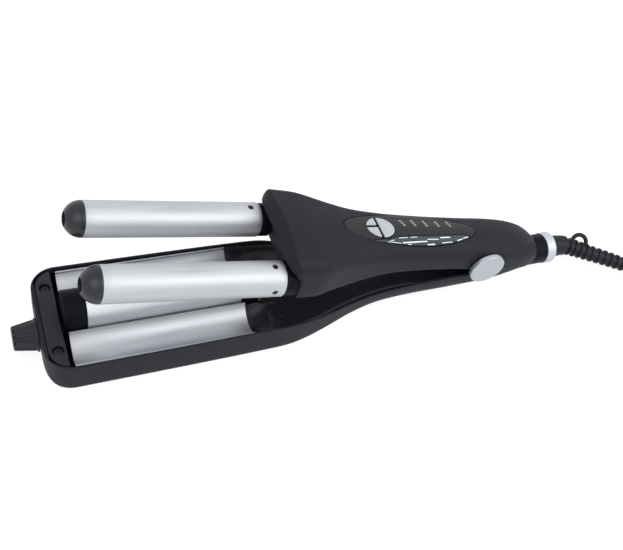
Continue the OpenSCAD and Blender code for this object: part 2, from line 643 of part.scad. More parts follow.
module power_cord() color("#2b2c30") jaw() {
    p = smooth_route(cord_route, 3);
    sweep(p, [for (q = p) cord_r], 12);
}
module cord_tail() color("#2b2c30") jaw() {
    p = smooth_route(tail_route, 3);
    sweep(p, [for (q = p) cord_r], 12);
}
coil_w = 3 * cord_d;
module cord_coil() color("#2b2c30") jaw() translate([coil_at[0], coil_at[1], -base_h]) rotate_extrude()
    translate([coil_mid_r, 0]) polygon([
        [-coil_w / 2, 1.5], [-coil_w / 2 + 1.5, 0], [coil_w / 2 - 1.5, 0], [coil_w / 2, 1.5],
        [coil_w / 2, coil_layers * cord_d - 1.5], [coil_w / 2 - 1.5, coil_layers * cord_d],
        [-coil_w / 2 + 1.5, coil_layers * cord_d], [-coil_w / 2, coil_layers * cord_d - 1.5]]);
module cord_tie() color(cap_black) jaw() translate([coil_at[0] + coil_mid_r, coil_at[1], -base_h])
    difference() {
        translate([-coil_w / 2 - 1.4, -4, 0.2]) cube([coil_w + 2.8, 8, coil_layers * cord_d + 0.9]);
        translate([-coil_w / 2 - 0.5, -5, -1]) cube([coil_w + 1, 10, coil_layers * cord_d + 1.1]);
    }
// Flat two-pin plug that lies beside the coil
module mains_plug() color("#2b2c30") jaw() translate(plug_at) rotate([0, 0, plug_turn]) {
    translate([0, 0, -6]) linear_extrude(12) polygon([[0, -5.2], [2.5, -7.4], [5, -9.8], [8, -11.4],
        [11, -12], [22, -12], [22, 12], [11, 12], [8, 11.4], [5, 9.8], [2.5, 7.4], [0, 5.2]]);
    along_x(-8) cylinder(r1 = 3.7, r2 = 4.6, h = 8.2);
}
module plug_pins() color(silver) jaw() translate(plug_at) rotate([0, 0, plug_turn]) for (y = [-9.5, 9.5])
    along_x(22, y) cylinder(r = 2.4, h = 19);

// ---- adjuster ----

cam_low = 2.5;
cam_rate = lift / PI;
// Distance from the shaft to the follower grows evenly with the angle
function cam_point(f) = let (h = cam_low + cam_rate * (f + 90) * PI / 180)
    [h * cos(f) - cam_rate * sin(f), h * sin(f) + cam_rate * cos(f)];
module cam_shaft() color("#b8bcc2") jaw() {
    along_x(-24, 0, shaft_z) cylinder(r = shaft_r, h = 135);
    for (x = [17, 75]) translate([0, 0, shaft_z]) slice_x(x, 6)
        polygon([for (f = [-100:10:100]) cam_point(f)]);
}
module adjuster_knob() color(cap_black) jaw() difference() {
    union() {
        along_x(knob_face - 1 - knob_len, 0, shaft_z) rotate_extrude() polygon([
            [0, 0], [knob_r - 2.2, 0], [knob_r - 1.4, 0.8], [knob_r, knob_len], [0, knob_len]]);
        along_x(knob_face - 1.2, 0, shaft_z) cylinder(r = knob_r + 0.6, h = 1);
    }
    for (i = [0:knob_flutes - 1]) translate([knob_face - 2, 0, shaft_z])
        rotate([360 * (i + 0.5) / knob_flutes, 0, 0])
            translate([0, 0, knob_r + 0.45]) rotate([0, -90 - knob_taper, 0])
                cylinder(r = 1.4, h = knob_len + 2);
    along_x(-24.2, 0, shaft_z) cylinder(r = shaft_r, h = 12);
}
module shaft_clip() color(silver) jaw() along_x(109.4, 0, shaft_z) difference() {
    cylinder(r = 4, h = 0.8);
    translate([0, 0, -1]) cylinder(r = shaft_r, h = 3);
}

// ---- centre barrel ----

module arch(r, floor_at) {
    translate([0, centre_z]) circle(r);
    translate([-r, floor_at]) square([2 * r, centre_z - floor_at]);
}
centre_x0 = 10;
centre_x1 = 93;
wall_foot = -6;
module centre_barrel() color(aluminium) jaw() slice_x(centre_x0, centre_x1 - centre_x0) difference() {
    arch(centre_r, wall_foot);
    arch(centre_r - 1.4, wall_foot - 1);
}
// Clears the cam shaft when the centre barrel is down
module shaft_slot() translate([-3, -shaft_r - 0.6, wall_foot]) cube([110, 2 * shaft_r + 1.2, 1.8]);
module centre_cap_front() color(cap_black) jaw() difference() {
    union() {
        slice_x(-1, centre_x0 + 1 - fit) arch(centre_r, wall_foot + 0.5);
        slice_x(-1.6, 0.6) arch(centre_r - 0.6, wall_foot + 1);
        slice_x(centre_x0 - 0.2, 5) arch(centre_r - 1.4 - gap, -1.9);
    }
    shaft_slot();
}
module centre_cap_rear() color(cap_black) jaw() difference() {
    union() {
        slice_x(centre_x1 + fit, 9) arch(centre_r, wall_foot + 0.5);
        slice_x(centre_x1 - 5, 5.2) arch(centre_r - 1.4 - gap, -1.9);
    }
    shaft_slot();
}
carriage_low = shaft_z + cam_low + lift + fit;
module lift_carriage() color("#56524c") jaw() difference() {
    translate([centre_x0 + 0.1, -8.3, carriage_low])
        cube([centre_x1 - centre_x0 - 0.2, 16.6, -2 - carriage_low]);
    for (side = [-1, 1]) translate([guide_x, side * guide_y, -10]) cylinder(r = 2.08, h = 12);
}
module centre_core() color("#9a8f86") jaw() {
    translate([18, -6, 5.2]) cube([66, 12, 6]);
    for (x = [24, 70]) translate([x, -3, -2]) cube([8, 6, 7.4]);
}

// ---- wiring ----

module lower_wiring() color("#7a2f2f") jaw() {
    p = smooth_route([[264, 0, -12], [250, 0, -14], [225, 4.5, -14], [200, 7, -14], [165, 8, -14],
        [140, 12, -14], [120, 12, -14], [100, 15, -16]], 2);
    sweep(p, [for (q = p) 1.4], 8);
}

lower_housing();
front_cover();
cover_screws();
channel_plate_left();
channel_plate_right();
plate_heater_left();
plate_heater_right();
plate_carriers();
shaft_bearing();
inner_cover();
inner_cover_screws();
neck_socket();
neck_ring();
hinge_pin();
hinge_spring();
pivot_cap();
pin_head();
lower_wiring();
upper_shell();
upper_inner_cover();
barrel_left();
barrel_right();
barrel_cap_left();
barrel_cap_right();
cap_screws();
barrel_collars();
root_screws();
barrel_cores();
control_panel();
display_window();
display_bars();
circuit_board();
tact_switches();
power_button();
heat_up_button();
heat_down_button();
cam_shaft();
adjuster_knob();
shaft_clip();
centre_barrel();
centre_cap_front();
centre_cap_rear();
lift_carriage();
centre_core();
swivel_flange();
strain_relief();
power_cord();
cord_coil();
cord_tie();
cord_tail();
mains_plug();
plug_pins();
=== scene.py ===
import json
import math

import bmesh
import bpy
from mathutils import Matrix, Vector

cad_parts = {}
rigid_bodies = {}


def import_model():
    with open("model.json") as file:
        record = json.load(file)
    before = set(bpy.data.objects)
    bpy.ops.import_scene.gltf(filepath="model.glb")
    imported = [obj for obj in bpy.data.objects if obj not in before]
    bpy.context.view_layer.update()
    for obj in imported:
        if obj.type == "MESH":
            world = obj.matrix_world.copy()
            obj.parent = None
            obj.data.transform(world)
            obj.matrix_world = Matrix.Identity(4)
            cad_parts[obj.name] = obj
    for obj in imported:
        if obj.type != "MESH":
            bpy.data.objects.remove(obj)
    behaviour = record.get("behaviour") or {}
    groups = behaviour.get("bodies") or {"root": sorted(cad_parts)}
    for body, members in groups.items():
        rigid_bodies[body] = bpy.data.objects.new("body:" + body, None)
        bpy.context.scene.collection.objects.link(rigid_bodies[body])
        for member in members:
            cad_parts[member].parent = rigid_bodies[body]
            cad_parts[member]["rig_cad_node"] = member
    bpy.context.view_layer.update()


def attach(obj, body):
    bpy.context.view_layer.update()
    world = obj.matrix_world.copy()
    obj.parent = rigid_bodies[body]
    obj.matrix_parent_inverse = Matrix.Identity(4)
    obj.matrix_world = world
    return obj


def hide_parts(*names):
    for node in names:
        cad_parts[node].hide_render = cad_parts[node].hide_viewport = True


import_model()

# Frames, in millimetres: the jaw frame starts at the troughs' front edge on their lips, and the
# shell frame on the hinge with -x forward along the barrels
OX, OZ = -171.67, 21.0
HX, HZ, OPEN = 244.5, 5.0, math.radians(11)
BASE = -21.0


def jaw(p):
    return ((p[0] + OX) / 1000, p[1] / 1000, (p[2] + OZ) / 1000)


def shell(p):
    x, y, z = p
    c, s = math.cos(OPEN), math.sin(OPEN)
    return jaw((HX + x * c + z * s, y, HZ - x * s + z * c))


def rad(d):
    return math.radians(d)


def add(name, data):
    o = bpy.data.objects.new(name, data)
    bpy.context.scene.collection.objects.link(o)
    return o


# ---- camera ----

# turn and shift of the view, fitted to the photo with 22 mm barrels, which are 19 mm here
VIEW_TURN = Vector((2.4364898, -0.3438120, 0.3765646))
VIEW_SHIFT = Vector((-148.29169, 25.28086, 533.61061)) * (19 / 22)
LENS, SENSOR = 51.243, 36


def add_camera():
    data = bpy.data.cameras.new("camera")
    data.sensor_fit = "HORIZONTAL"
    data.sensor_width = SENSOR
    data.lens = LENS
    data.clip_start, data.clip_end = 0.01, 20
    cam = add("camera", data)
    turn = Matrix.Rotation(VIEW_TURN.length, 3, VIEW_TURN.normalized())
    right, down, ahead = turn[0], turn[1], turn[2]
    pos = -(turn.transposed() @ VIEW_SHIFT)
    cols = Matrix((right, -down, -ahead)).transposed().to_4x4()
    cols.translation = Vector(jaw(pos))
    cam.matrix_world = cols
    bpy.context.scene.camera = cam


add_camera()

# ---- materials ----


def material(name, colour, rough, metal=0.0, gloss=0.5, **extra):
    m = bpy.data.materials.new(name)
    m.use_nodes = True
    b = m.node_tree.nodes["Principled BSDF"]
    extra |= {"Base Color": (*colour, 1), "Roughness": rough, "Metallic": metal, "Specular IOR Level": gloss}
    for key, value in extra.items():
        b.inputs[key.replace("_", " ")].default_value = value
    return m


def node(m, kind, **values):
    """New node; a value goes to the input of its name, or else to the setting."""
    n = m.node_tree.nodes.new(kind)
    for key, value in values.items():
        name = key.replace("_", " ")
        if name in n.inputs:
            n.inputs[name].default_value = value
        else:
            setattr(n, key, value)
    return n


def grain(m, scale, strength, stretch=(1, 1, 1), vary=0.0, rough=0.06, tilt=0.0, patch=12):
    """Fine surface grain: bump, a little colour change and a little roughness change.

    stretch and tilt lengthen the grain into streaks; patch is the size of its colour changes.
    """
    b = m.node_tree.nodes["Principled BSDF"]
    link = m.node_tree.links.new
    place = node(m, "ShaderNodeTexCoord")
    size = node(m, "ShaderNodeMapping", vector_type="TEXTURE", Scale=stretch, Rotation=(0, tilt, 0))
    link(place.outputs["Object"], size.inputs["Vector"])
    fine = node(m, "ShaderNodeTexNoise", Scale=scale, Detail=3.0, Roughness=0.6)
    link(size.outputs["Vector"], fine.inputs["Vector"])
    bump = node(m, "ShaderNodeBump", Strength=strength, Distance=0.00004)
    link(fine.outputs["Fac"], bump.inputs["Height"])
    link(bump.outputs["Normal"], b.inputs["Normal"])
    base = b.inputs["Roughness"].default_value
    spread = node(m, "ShaderNodeMapRange", To_Min=base - rough, To_Max=base + rough)
    wide = node(m, "ShaderNodeTexNoise", Scale=scale / patch, Detail=2.0)
    link(size.outputs["Vector"], wide.inputs["Vector"])
    link(wide.outputs["Fac"], spread.inputs["Value"])
    link(spread.outputs["Result"], b.inputs["Roughness"])
    if vary:
        colour = tuple(b.inputs["Base Color"].default_value)[:3]
        # a Mix node has its two colours at sockets 6 and 7, and the mixed colour at output 2
        mix = node(m, "ShaderNodeMix", data_type="RGBA")
        mix.inputs[6].default_value = (*[c * (1 - vary) for c in colour], 1)
        mix.inputs[7].default_value = (*[min(1, c * (1 + vary)) for c in colour], 1)
        link(wide.outputs["Fac"], mix.inputs["Factor"])
        link(mix.outputs[2], b.inputs["Base Color"])
    return m


def brushed(name, colour, rough, vary, tilt=0.0):
    """Aluminium brushed along x, or along the barrels where tilt is their angle."""
    m = material(name, colour, rough, 1.0, Anisotropic=0.4)
    return grain(m, 2400, 0.3, stretch=(30, 1, 1), vary=vary, rough=0.1, tilt=tilt, patch=2.4)


HOUSING = grain(material("housing", (0.0108, 0.0125, 0.0187), 0.6, gloss=0.22), 2600, 0.5, vary=0.06)
CAP = grain(material("cap_black", (0.0095, 0.0104, 0.0165), 0.46, gloss=0.34), 2200, 0.25, vary=0.05)
DOME = grain(material("dome_black", (0.0085, 0.0092, 0.0150), 0.33), 2200, 0.25, vary=0.05)
NECK = grain(material("neck_black", (0.003, 0.0038, 0.0070), 0.5, gloss=0.10), 2200, 0.25, vary=0.06)
# painted shade: this black is darker than the housing's so that the deck's hollow behind the troughs reads as
# shaded
COVER_WITH_PAINTED_SHADE = grain(material("cover_black", (0.0065, 0.0072, 0.011), 0.42, gloss=0.3), 1800, 0.3, vary=0.1)
PANEL = grain(material("panel", (0.0095, 0.0100, 0.0135), 0.45, gloss=0.34), 3000, 0.3, vary=0.05)
BARREL = brushed("aluminium", (0.555, 0.571, 0.602), 0.58, 0.16, OPEN)
# painted light: the centre barrel's aluminium is lighter than the barrels' to make up for the shade it sits
# in
SHADE_LIFTED_ALU = brushed("shade_lifted_aluminium", (0.76, 0.776, 0.808), 0.58, 0.14)
# partly the troughs' own finish and partly painted shade: darker than the barrels' aluminium for the head's
# shadow over the troughs' back
TROUGH_WITH_PAINTED_SHADE = brushed("trough_aluminium_painted_shade", (0.515, 0.530, 0.560), 0.5, 0.12)
SILVER = material("silver_plastic", (0.50, 0.53, 0.57), 0.32, 0.2, Coat_Weight=0.3)
grain(SILVER, 2600, 0.06, rough=0.03)
RING = grain(material("bright_ring", (0.46, 0.495, 0.54), 0.32, 0.6), 2000, 0.05, rough=0.03)
BAND = grain(material("band_silver", (0.58, 0.615, 0.68), 0.46, 0.35), 2000, 0.05, rough=0.03)
WINDOW = material("window", (0.010, 0.025, 0.031), 0.10, Coat_Weight=0.5, Coat_Roughness=0.04)
grain(WINDOW, 1600, 0.04, vary=0.3, rough=0.03)
SEGMENT = grain(material("segments", (0.83, 0.90, 0.91), 0.35), 2000, 0.1, vary=0.06)
PRINT = grain(material("print", (0.27, 0.27, 0.29), 0.45), 2600, 0.1, vary=0.08)
STEEL = grain(material("steel", (0.55, 0.56, 0.58), 0.32, 1.0), 2400, 0.2, vary=0.05)
SCREW = grain(material("screw_black", (0.0030, 0.0030, 0.0042), 0.42, 0.2), 2400, 0.2, vary=0.1)
RUBBER = grain(material("rubber", (0.0075, 0.0082, 0.0125), 0.5, gloss=0.26), 2200, 0.3, vary=0.08)
CORD = grain(material("cord", (0.0110, 0.0115, 0.0150), 0.5, gloss=0.3), 2200, 0.3, vary=0.08)
HEATER = grain(material("heater", (0.45, 0.41, 0.37), 0.6, 0.4), 1500, 0.4, vary=0.12)
CARRIER = grain(material("carrier", (0.10, 0.094, 0.088), 0.55), 1500, 0.4, vary=0.1)
BOARD = grain(material("board", (0.03, 0.13, 0.07), 0.45), 1200, 0.3, vary=0.15)
WIRE = grain(material("wire", (0.30, 0.04, 0.04), 0.45), 1800, 0.3, vary=0.1)

# material, its slot and the nodes that wear it
DRESS = (
    (HOUSING, "housing", "lower_housing upper_shell"),
    (CAP, "cap_black", "front_cover cam_shaft adjuster_knob swivel_flange"),
    (DOME, "cap_black", "barrel_cap_left barrel_cap_right"),
    (NECK, "cap_black", "neck_socket barrel_collars centre_cap_front centre_cap_rear"),
    (COVER_WITH_PAINTED_SHADE, "cover_black", "inner_cover upper_inner_cover cord_tie"),
    (PANEL, "panel", "control_panel"),
    (BARREL, "aluminium", "barrel_left barrel_right"),
    (SHADE_LIFTED_ALU, "aluminium", "centre_barrel"),
    (TROUGH_WITH_PAINTED_SHADE, "aluminium", "channel_plate_left channel_plate_right"),
    (SILVER, "silver_plastic", "pivot_cap power_button heat_up_button heat_down_button"),
    (RING, "bright_ring", ""),
    (BAND, "bright_ring", "neck_ring"),
    (WINDOW, "window", "display_window"),
    (SEGMENT, "segments", "display_bars"),
    (PRINT, "segments", ""),
    (STEEL, "steel", "hinge_pin hinge_spring pin_head shaft_clip plug_pins"),
    (SCREW, "screw_black", "cover_screws inner_cover_screws cap_screws root_screws tact_switches"),
    (RUBBER, "rubber", "strain_relief mains_plug"),
    (CORD, "rubber", "power_cord cord_coil cord_tail"),
    (HEATER, "heater", "plate_heater_left plate_heater_right barrel_cores centre_core"),
    (CARRIER, "carrier", "plate_carriers shaft_bearing lift_carriage"),
    (BOARD, "board", "circuit_board"),
    (WIRE, "wire", "lower_wiring"),
)
FINISH = {name: m for m, _, names in DRESS for name in names.split()}
for o in list(bpy.context.scene.objects):
    if o.type == "MESH" and "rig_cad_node" in o:
        o.data.materials.clear()
        o.data.materials.append(FINISH[o["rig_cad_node"]])

# ---- lines and curves ----


def clamp(u):
    return min(1, max(0, u))


def smooth_step(u):
    return u * u * (3 - 2 * u)


def ease(x, start, run):
    """Smooth rise from 0 to 1 over a run of x."""
    return smooth_step(clamp((x - start) / run))


def hermite(u, p0, p1, m0, m1):
    """Cubic between two values or points with the given slopes."""
    return ((2 * u**3 - 3 * u**2 + 1) * p0 + (u**3 - 2 * u**2 + u) * m0 + (3 * u**2 - 2 * u**3) * p1
            + (u**3 - u**2) * m1)


def quarter(r, x):
    """Drop of a quarter round of radius r, at x from its end."""
    d = max(0, r - x)
    return r - math.sqrt(max(0, r * r - d * d))


def spans(*rows):
    """Stations along stretches given as (start, end, step); the last end is left out."""
    out = []
    for a, b, step in rows:
        n = max(1, round((b - a) / step))
        out += [a + (b - a) * i / n for i in range(n)]
    return out


def arc(r, a0, a1, n, cx=0.0, cy=0.0):
    """n + 1 points on an arc; angles in degrees."""
    turns = [rad(a0 + (a1 - a0) * k / n) for k in range(n + 1)]
    return [(cx + r * math.cos(t), cy + r * math.sin(t)) for t in turns]


def around(at, u, v, r, n):
    """Circle of n points about a point, in the plane of u and v."""
    turns = [2 * math.pi * k / n for k in range(n)]
    return [tuple(at + r * (math.cos(t) * u + math.sin(t) * v)) for t in turns]


def inset_line(line, d):
    """A closed outline moved inwards by d; counter-clockwise outlines only."""
    n = len(line)
    out = []
    for i in range(n):
        a, p, c = Vector(line[i - 1]), Vector(line[i]), Vector(line[(i + 1) % n])
        u, v = (p - a).normalized(), (c - p).normalized()
        nu, nv = Vector((-u.y, u.x)), Vector((-v.y, v.x))
        w = (nu + nv).normalized()
        out.append(tuple(p + w * d / max(0.35, w.dot(nu))))
    return out


def clip(line, nx, ny, d):
    """Part of an outline where nx * x + ny * y >= d."""
    out = []
    for i, p in enumerate(line):
        q = line[(i + 1) % len(line)]
        a, b = nx * p[0] + ny * p[1] - d, nx * q[0] + ny * q[1] - d
        if a >= 0:
            out.append(p)
        if (a > 0) != (b > 0) and abs(a - b) > 1e-9:
            t = a / (a - b)
            out.append((p[0] + (q[0] - p[0]) * t, p[1] + (q[1] - p[1]) * t))
    return out


def box_line(x0, y0, x1, y1, r=0.0, n=6):
    if not r:
        return [(x0, y0), (x1, y0), (x1, y1), (x0, y1)]
    out = arc(r, -90, 0, n, x1 - r, y0 + r) + arc(r, 0, 90, n, x1 - r, y1 - r)
    return out + arc(r, 90, 180, n, x0 + r, y1 - r) + arc(r, 180, 270, n, x0 + r, y0 + r)


# ---- mesh helpers ----


def finish(o, m, body, sharp, nodes=()):
    o.data.materials.clear()
    o.data.materials.append(m)
    o.data.shade_smooth()
    o.data.set_sharp_from_angle(angle=rad(sharp))
    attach(o, body)
    if nodes:
        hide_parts(*nodes)
    return o


def raw(name, verts, faces, place):
    data = bpy.data.meshes.new(name)
    data.from_pydata([place(v) for v in verts], [], faces)
    b = bmesh.new()
    b.from_mesh(data)
    bmesh.ops.remove_doubles(b, verts=b.verts, dist=1e-7)
    bmesh.ops.recalc_face_normals(b, faces=b.faces)
    b.to_mesh(data)
    b.free()
    return add(name, data)


def ring_faces(count, n):
    """Faces between neighbouring rings of n points each."""
    faces = []
    for k in range(count - 1):
        for i in range(n):
            j = (i + 1) % n
            faces.append((k * n + i, k * n + j, (k + 1) * n + j, (k + 1) * n + i))
    return faces


def loft(name, rings, place=jaw, caps=True):
    """Solid through closed rings of points, all with the same number of points."""
    n = len(rings[0])
    faces = ring_faces(len(rings), n)
    if caps:
        faces += [tuple(range(n - 1, -1, -1)), tuple((len(rings) - 1) * n + i for i in range(n))]
    return raw(name, [p for r in rings for p in r], faces, place)


def revolve(name, profile, at, axis, n, place=jaw, shape=None):
    """profile: (distance along the axis, radius); axis is "x", "-y" or "z"."""
    rings = []
    for h, r in profile:
        ring = []
        for i in range(n):
            t = 2 * math.pi * i / n
            q = shape(t, h, r) if shape else r
            u, v = q * math.cos(t), q * math.sin(t)
            d = {"x": (h, u, v), "-y": (u, -h, v), "z": (u, v, h)}[axis]
            ring.append((at[0] + d[0], at[1] + d[1], at[2] + d[2]))
        rings.append(ring)
    return loft(name, rings, place, caps=profile[0][1] > 1e-6 or profile[-1][1] > 1e-6)


def ring_solid(name, profile, at, axis, n, place=jaw):
    """A closed profile turned about an axis, with no caps at its ends."""
    o = revolve(name, profile + [profile[0]], at, axis, n, place)
    b = bmesh.new()
    b.from_mesh(o.data)
    bmesh.ops.delete(b, geom=[f for f in b.faces if len(f.verts) > 4], context="FACES_ONLY")
    bmesh.ops.recalc_face_normals(b, faces=b.faces)
    b.to_mesh(o.data)
    b.free()
    return o


def cut(o, *cutters):
    for c in cutters:
        m = o.modifiers.new("cut", "BOOLEAN")
        m.object = c
        m.operation = "DIFFERENCE"
        m.solver = "EXACT"
    bpy.context.view_layer.update()
    shown, old = bpy.context.evaluated_depsgraph_get(), o.data
    data = bpy.data.meshes.new_from_object(o.evaluated_get(shown))
    o.modifiers.clear()
    o.data = data
    bpy.data.meshes.remove(old)
    for c in cutters:
        bpy.data.objects.remove(c, do_unlink=True)
    b = bmesh.new()
    b.from_mesh(o.data)
    bmesh.ops.remove_doubles(b, verts=b.verts, dist=2e-7)
    bmesh.ops.dissolve_degenerate(b, edges=b.edges, dist=1e-7)
    b.to_mesh(o.data)
    b.free()
    return o


def join(name, *objects):
    b = bmesh.new()
    for o in objects:
        o.data.transform(o.matrix_world)
        b.from_mesh(o.data)
    data = bpy.data.meshes.new(name)
    b.to_mesh(data)
    b.free()
    for o in objects:
        bpy.data.objects.remove(o, do_unlink=True)
    return add(name, data)


def slab(name, line, low, high, r, place=jaw, steps=4, inner=6):
    """Prism with a rounded upper edge. low and high are heights or functions of (x, y)."""
    zl = low if callable(low) else (lambda x, y: low)
    zh = high if callable(high) else (lambda x, y: high)
    rings = [[(x, y, zl(x, y)) for x, y in line]]
    for k in range(steps + 1):
        t = rad(90 * k / steps)
        edge = inset_line(line, r * (1 - math.cos(t)))
        rings.append([(x, y, zh(x, y) - r * (1 - math.sin(t))) for x, y in edge])
    top = inset_line(line, r)
    cx, cy = sum(p[0] for p in top) / len(top), sum(p[1] for p in top) / len(top)
    for k in range(1, inner + 1):
        f = 1 - k / inner if k < inner else 0.02
        pts = [(cx + (x - cx) * f, cy + (y - cy) * f) for x, y in top]
        rings.append([(x, y, zh(x, y)) for x, y in pts])
    return loft(name, rings, place)


def extrude_x(name, line, x0, x1, r0, r1, steps=4):
    """Outline in (y, z), counter-clockwise, along x with rounded end edges."""
    def end(x, r, t):
        edge = inset_line(line, abs(r) * (1 - math.sin(t)))
        return [(x + r * (1 - math.cos(t)), y, z) for y, z in edge]

    turns = [rad(90 * k / steps) for k in range(steps + 1)]
    first = [end(x0, r0, t) for t in turns]
    last = [end(x1, -r1, t) for t in reversed(turns)]
    length = x1 - r1 - x0 - r0
    mid = [[(x0 + r0 + length * f, y, z) for y, z in line] for f in (0.25, 0.5, 0.75)]
    return loft(name, first + mid + last)


def rod(name, a, b, r, n=24, place=jaw, edge=0.0):
    """Cylinder from a to b."""
    a, b = Vector(a), Vector(b)
    length = (b - a).length
    d = (b - a).normalized()
    u = d.cross(Vector((0, 0, 1)) if abs(d.z) < 0.9 else Vector((1, 0, 0))).normalized()
    rows = [(0, r), (length, r)]
    if edge:
        rows = [(0, r - edge), (edge, r), (length - edge, r), (length, r - edge)]
    return loft(name, [around(a + d * h, u, d.cross(u), q, n) for h, q in rows], place)


def cross_screw(name, at, up, r, h, place=jaw, n=48):
    """Pan-head screw with a cross recess; at is the top centre of its head."""
    at, up = Vector(at), Vector(up).normalized()
    u = up.cross(Vector((0.3, 1, 0.2))).normalized()
    v = up.cross(u)
    rows = [(-h, r * 0.96), (-h * 0.45, r), (-h * 0.18, r * 0.9), (-h * 0.04, r * 0.62), (0, r * 0.4)]
    head = loft(name, [around(at + up * z, u, v, q, n) for z, q in rows], place)
    corners = ((-1, -1), (1, -1), (1, 1), (-1, 1))
    cutters = []
    for a, b in ((u, v), (v, u)):
        long, wide = a * r * 0.55, b * r * 0.12
        low = [tuple(at - up * h * 0.55 + long * 0.6 * p + wide * 0.7 * q) for p, q in corners]
        high = [tuple(at + up * 0.4 + long * p + wide * q) for p, q in corners]
        cutters.append(loft(name + "_cut", [low, high], place))
    return cut(head, *cutters)


def swept(name, points, radii, sides):
    rings = []
    for i, (p, r) in enumerate(zip(points, radii)):
        d = (points[min(i + 1, len(points) - 1)] - points[max(i - 1, 0)]).normalized()
        u = d.cross(Vector((0, 0, 1))).normalized()
        rings.append(around(p, u, u.cross(d), r, sides))
    return loft(name, rings)


# ---- cord ----

FLOOR = BASE + 3.0
COIL, COIL_START = (422.0, -11.5), -117.0
LAYER = 6.05


def polar(r, deg, z):
    return (COIL[0] + r * math.cos(rad(deg)), COIL[1] + r * math.sin(rad(deg)), z)


def cord_line():
    """Free stretch, eight turns in three layers, and the way down the coil's outside."""
    pts = [(366, -25.8, -15.8), (372, -28.9, -16.6), (378, -32, -17.3), (385, -35.7, -17.8),
           (392, -39.3, -17.97), (398, -42.4, FLOOR)]
    # radius and layer of each turn; the cord moves over in the last fifth of a turn
    big, mid, small = 38.6, 32.5, 26.4
    turns = [(big, 0), (mid, 0), (small, 0), (small, 1), (mid, 1), (big, 1), (big, 2), (mid, 2), (big, 2)]
    for (r, layer), (r1, layer1) in zip(turns, turns[1:]):
        for i in range(24):
            u = i / 24
            w = ease(u, 0.78, 0.22)
            z = FLOOR + LAYER * (layer + (layer1 - layer) * w)
            pts.append(polar(r + (r1 - r) * w, COIL_START + 360 * u, z))
    for deg, r, rise in ((COIL_START, big, 12.1), (-104, 39.6, 12.1), (-92, 42.2, 11.4), (-80, 44.8, 9.6),
                         (-68, 46.0, 6.6), (-57, 46.2, 3.9)):
        pts.append(polar(r, deg, FLOOR + rise))
    return pts


TAIL = [(454.6, -45.7, FLOOR + 2.4), (462.5, -40.9, FLOOR + 2.0), (470.0, -36.4, FLOOR + 2.6),
        (477.2, -32.2, FLOOR + 3.0)]


def spline(name, pts, r, m):
    data = bpy.data.curves.new(name, "CURVE")
    data.dimensions = "3D"
    data.bevel_depth = r / 1000
    data.bevel_resolution = 6
    data.resolution_u = 6
    data.use_fill_caps = True
    s = data.splines.new("NURBS")
    s.points.add(len(pts) - 1)
    for q, p in zip(s.points, pts):
        q.co = (*jaw(p), 1)
    s.order_u = 4
    s.use_endpoint_u = True
    data.materials.append(m)
    return add(name, data)


cord_route = cord_line() + TAIL
cord = spline("cord_run", cord_route, 3.0, CORD)
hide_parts("power_cord", "cord_coil", "cord_tail")
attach(cord, "cord")

# ---- upper shell ----


def rows_at(rows, x, k):
    """Smooth curve through the k-th value of the rows."""
    i = 0
    while i < len(rows) - 2 and x >= rows[i + 1][0]:
        i += 1

    def slope(j):
        a, b = max(j - 1, 0), min(j + 1, len(rows) - 1)
        return (rows[b][k] - rows[a][k]) / (rows[b][0] - rows[a][0])

    h = rows[i + 1][0] - rows[i][0]
    u = clamp((x - rows[i][0]) / h)
    return hermite(u, rows[i][k], rows[i + 1][k], slope(i) * h, slope(i + 1) * h)


# distance in front of the hinge: half width, crown, skirt, corner radius, tuck, wall
SHELL = [
    (-47, 10.6, 6.2, 6.4, 8.5, 0.2, 0.8), (-42, 12.0, 8.4, 6.3, 8.5, 0.2, 1.1),
    (-35, 13.8, 10.4, 6.0, 8.8, 0.3, 1.5), (-25, 15.4, 12.1, 5.2, 9.2, 0.4, 1.8),
    (-10, 16.4, 13.1, 4.2, 9.8, 0.6, 1.8), (10, 16.4, 13.7, 3.3, 10, 0.6, 1.8),
    (30, 16.4, 14.4, 2.8, 10, 0.6, 1.8), (50, 16.8, 15.2, 2.9, 10, 0.8, 1.8),
    (69, 17.8, 15.9, 4.0, 9.8, 1.2, 1.8), (88, 20.2, 16.7, 7.4, 9.4, 1.8, 1.8),
    (101, 23.3, 17.9, 9.2, 9, 2.4, 2), (113, 27.0, 19.0, 9.4, 8.4, 3, 2),
    (124, 29.1, 20.0, 9.2, 8, 3, 2.2), (142, 29.9, 20.8, 9.1, 7.4, 3, 2.4),
]
# distance from the troughs' front edge: half width, rim height, corner radius, depth
TRAY = [
    (0, 33.4, 1.5, 6.5, 21), (60, 33.0, 1.5, 6.5, 21), (105, 32.4, 1.2, 6.8, 21),
    (118, 31.8, 0.6, 7.2, 21), (130, 29.4, -0.8, 8, 21), (143, 25.7, -2.2, 9.6, 21),
    (158, 21.2, -3.1, 12, 21), (175, 17.9, -3.2, 14.6, 21), (195, 16.6, -2.8, 15.6, 21),
    (230, 16.2, -2.4, 15.6, 21), (256, 15.2, -2.4, 14.8, 20.9), (268, 13.2, -5.4, 12.6, 20.2),
    (280, 10.6, -8.9, 9.4, 18.9),
]
A, CROWN, SKIRT, CORNER, TUCK, SHELL_WALL = range(1, 7)
RIM, TRAY_CORNER, DEPTH = range(2, 5)
BULGE = 0.05
# front face of the head: where it starts, its edge radius, and where its shaping sets in
FRONT, FACE_R = 142.0, 1.0
HEAD_FROM, HEAD_RUN = 110, 29
# how far the face is set back by its lean, its dip in the middle, the brow above, the ends and
# the hollow that the barrels stand in, which starts below a share of its height
LEAN, DIP, BROW, ENDS, NEST, NEST_FROM = 11.6, 2.5, 2.5, 5.6, 3, 0.34
# the rear end of the shell is drawn in behind this station, to show the neck
REAR_FROM, REAR_PULL = -35, 0.2
# radius of the skirt's lugs around the hinge
LUG_R = 9


def both(half):
    return half + [(-y, z) for y, z in reversed(half[:-1])]


def flat(half):
    last = len(half) - 1
    return [(half[0][0] * (1 - i / last), half[0][1]) for i in range(last + 1)]


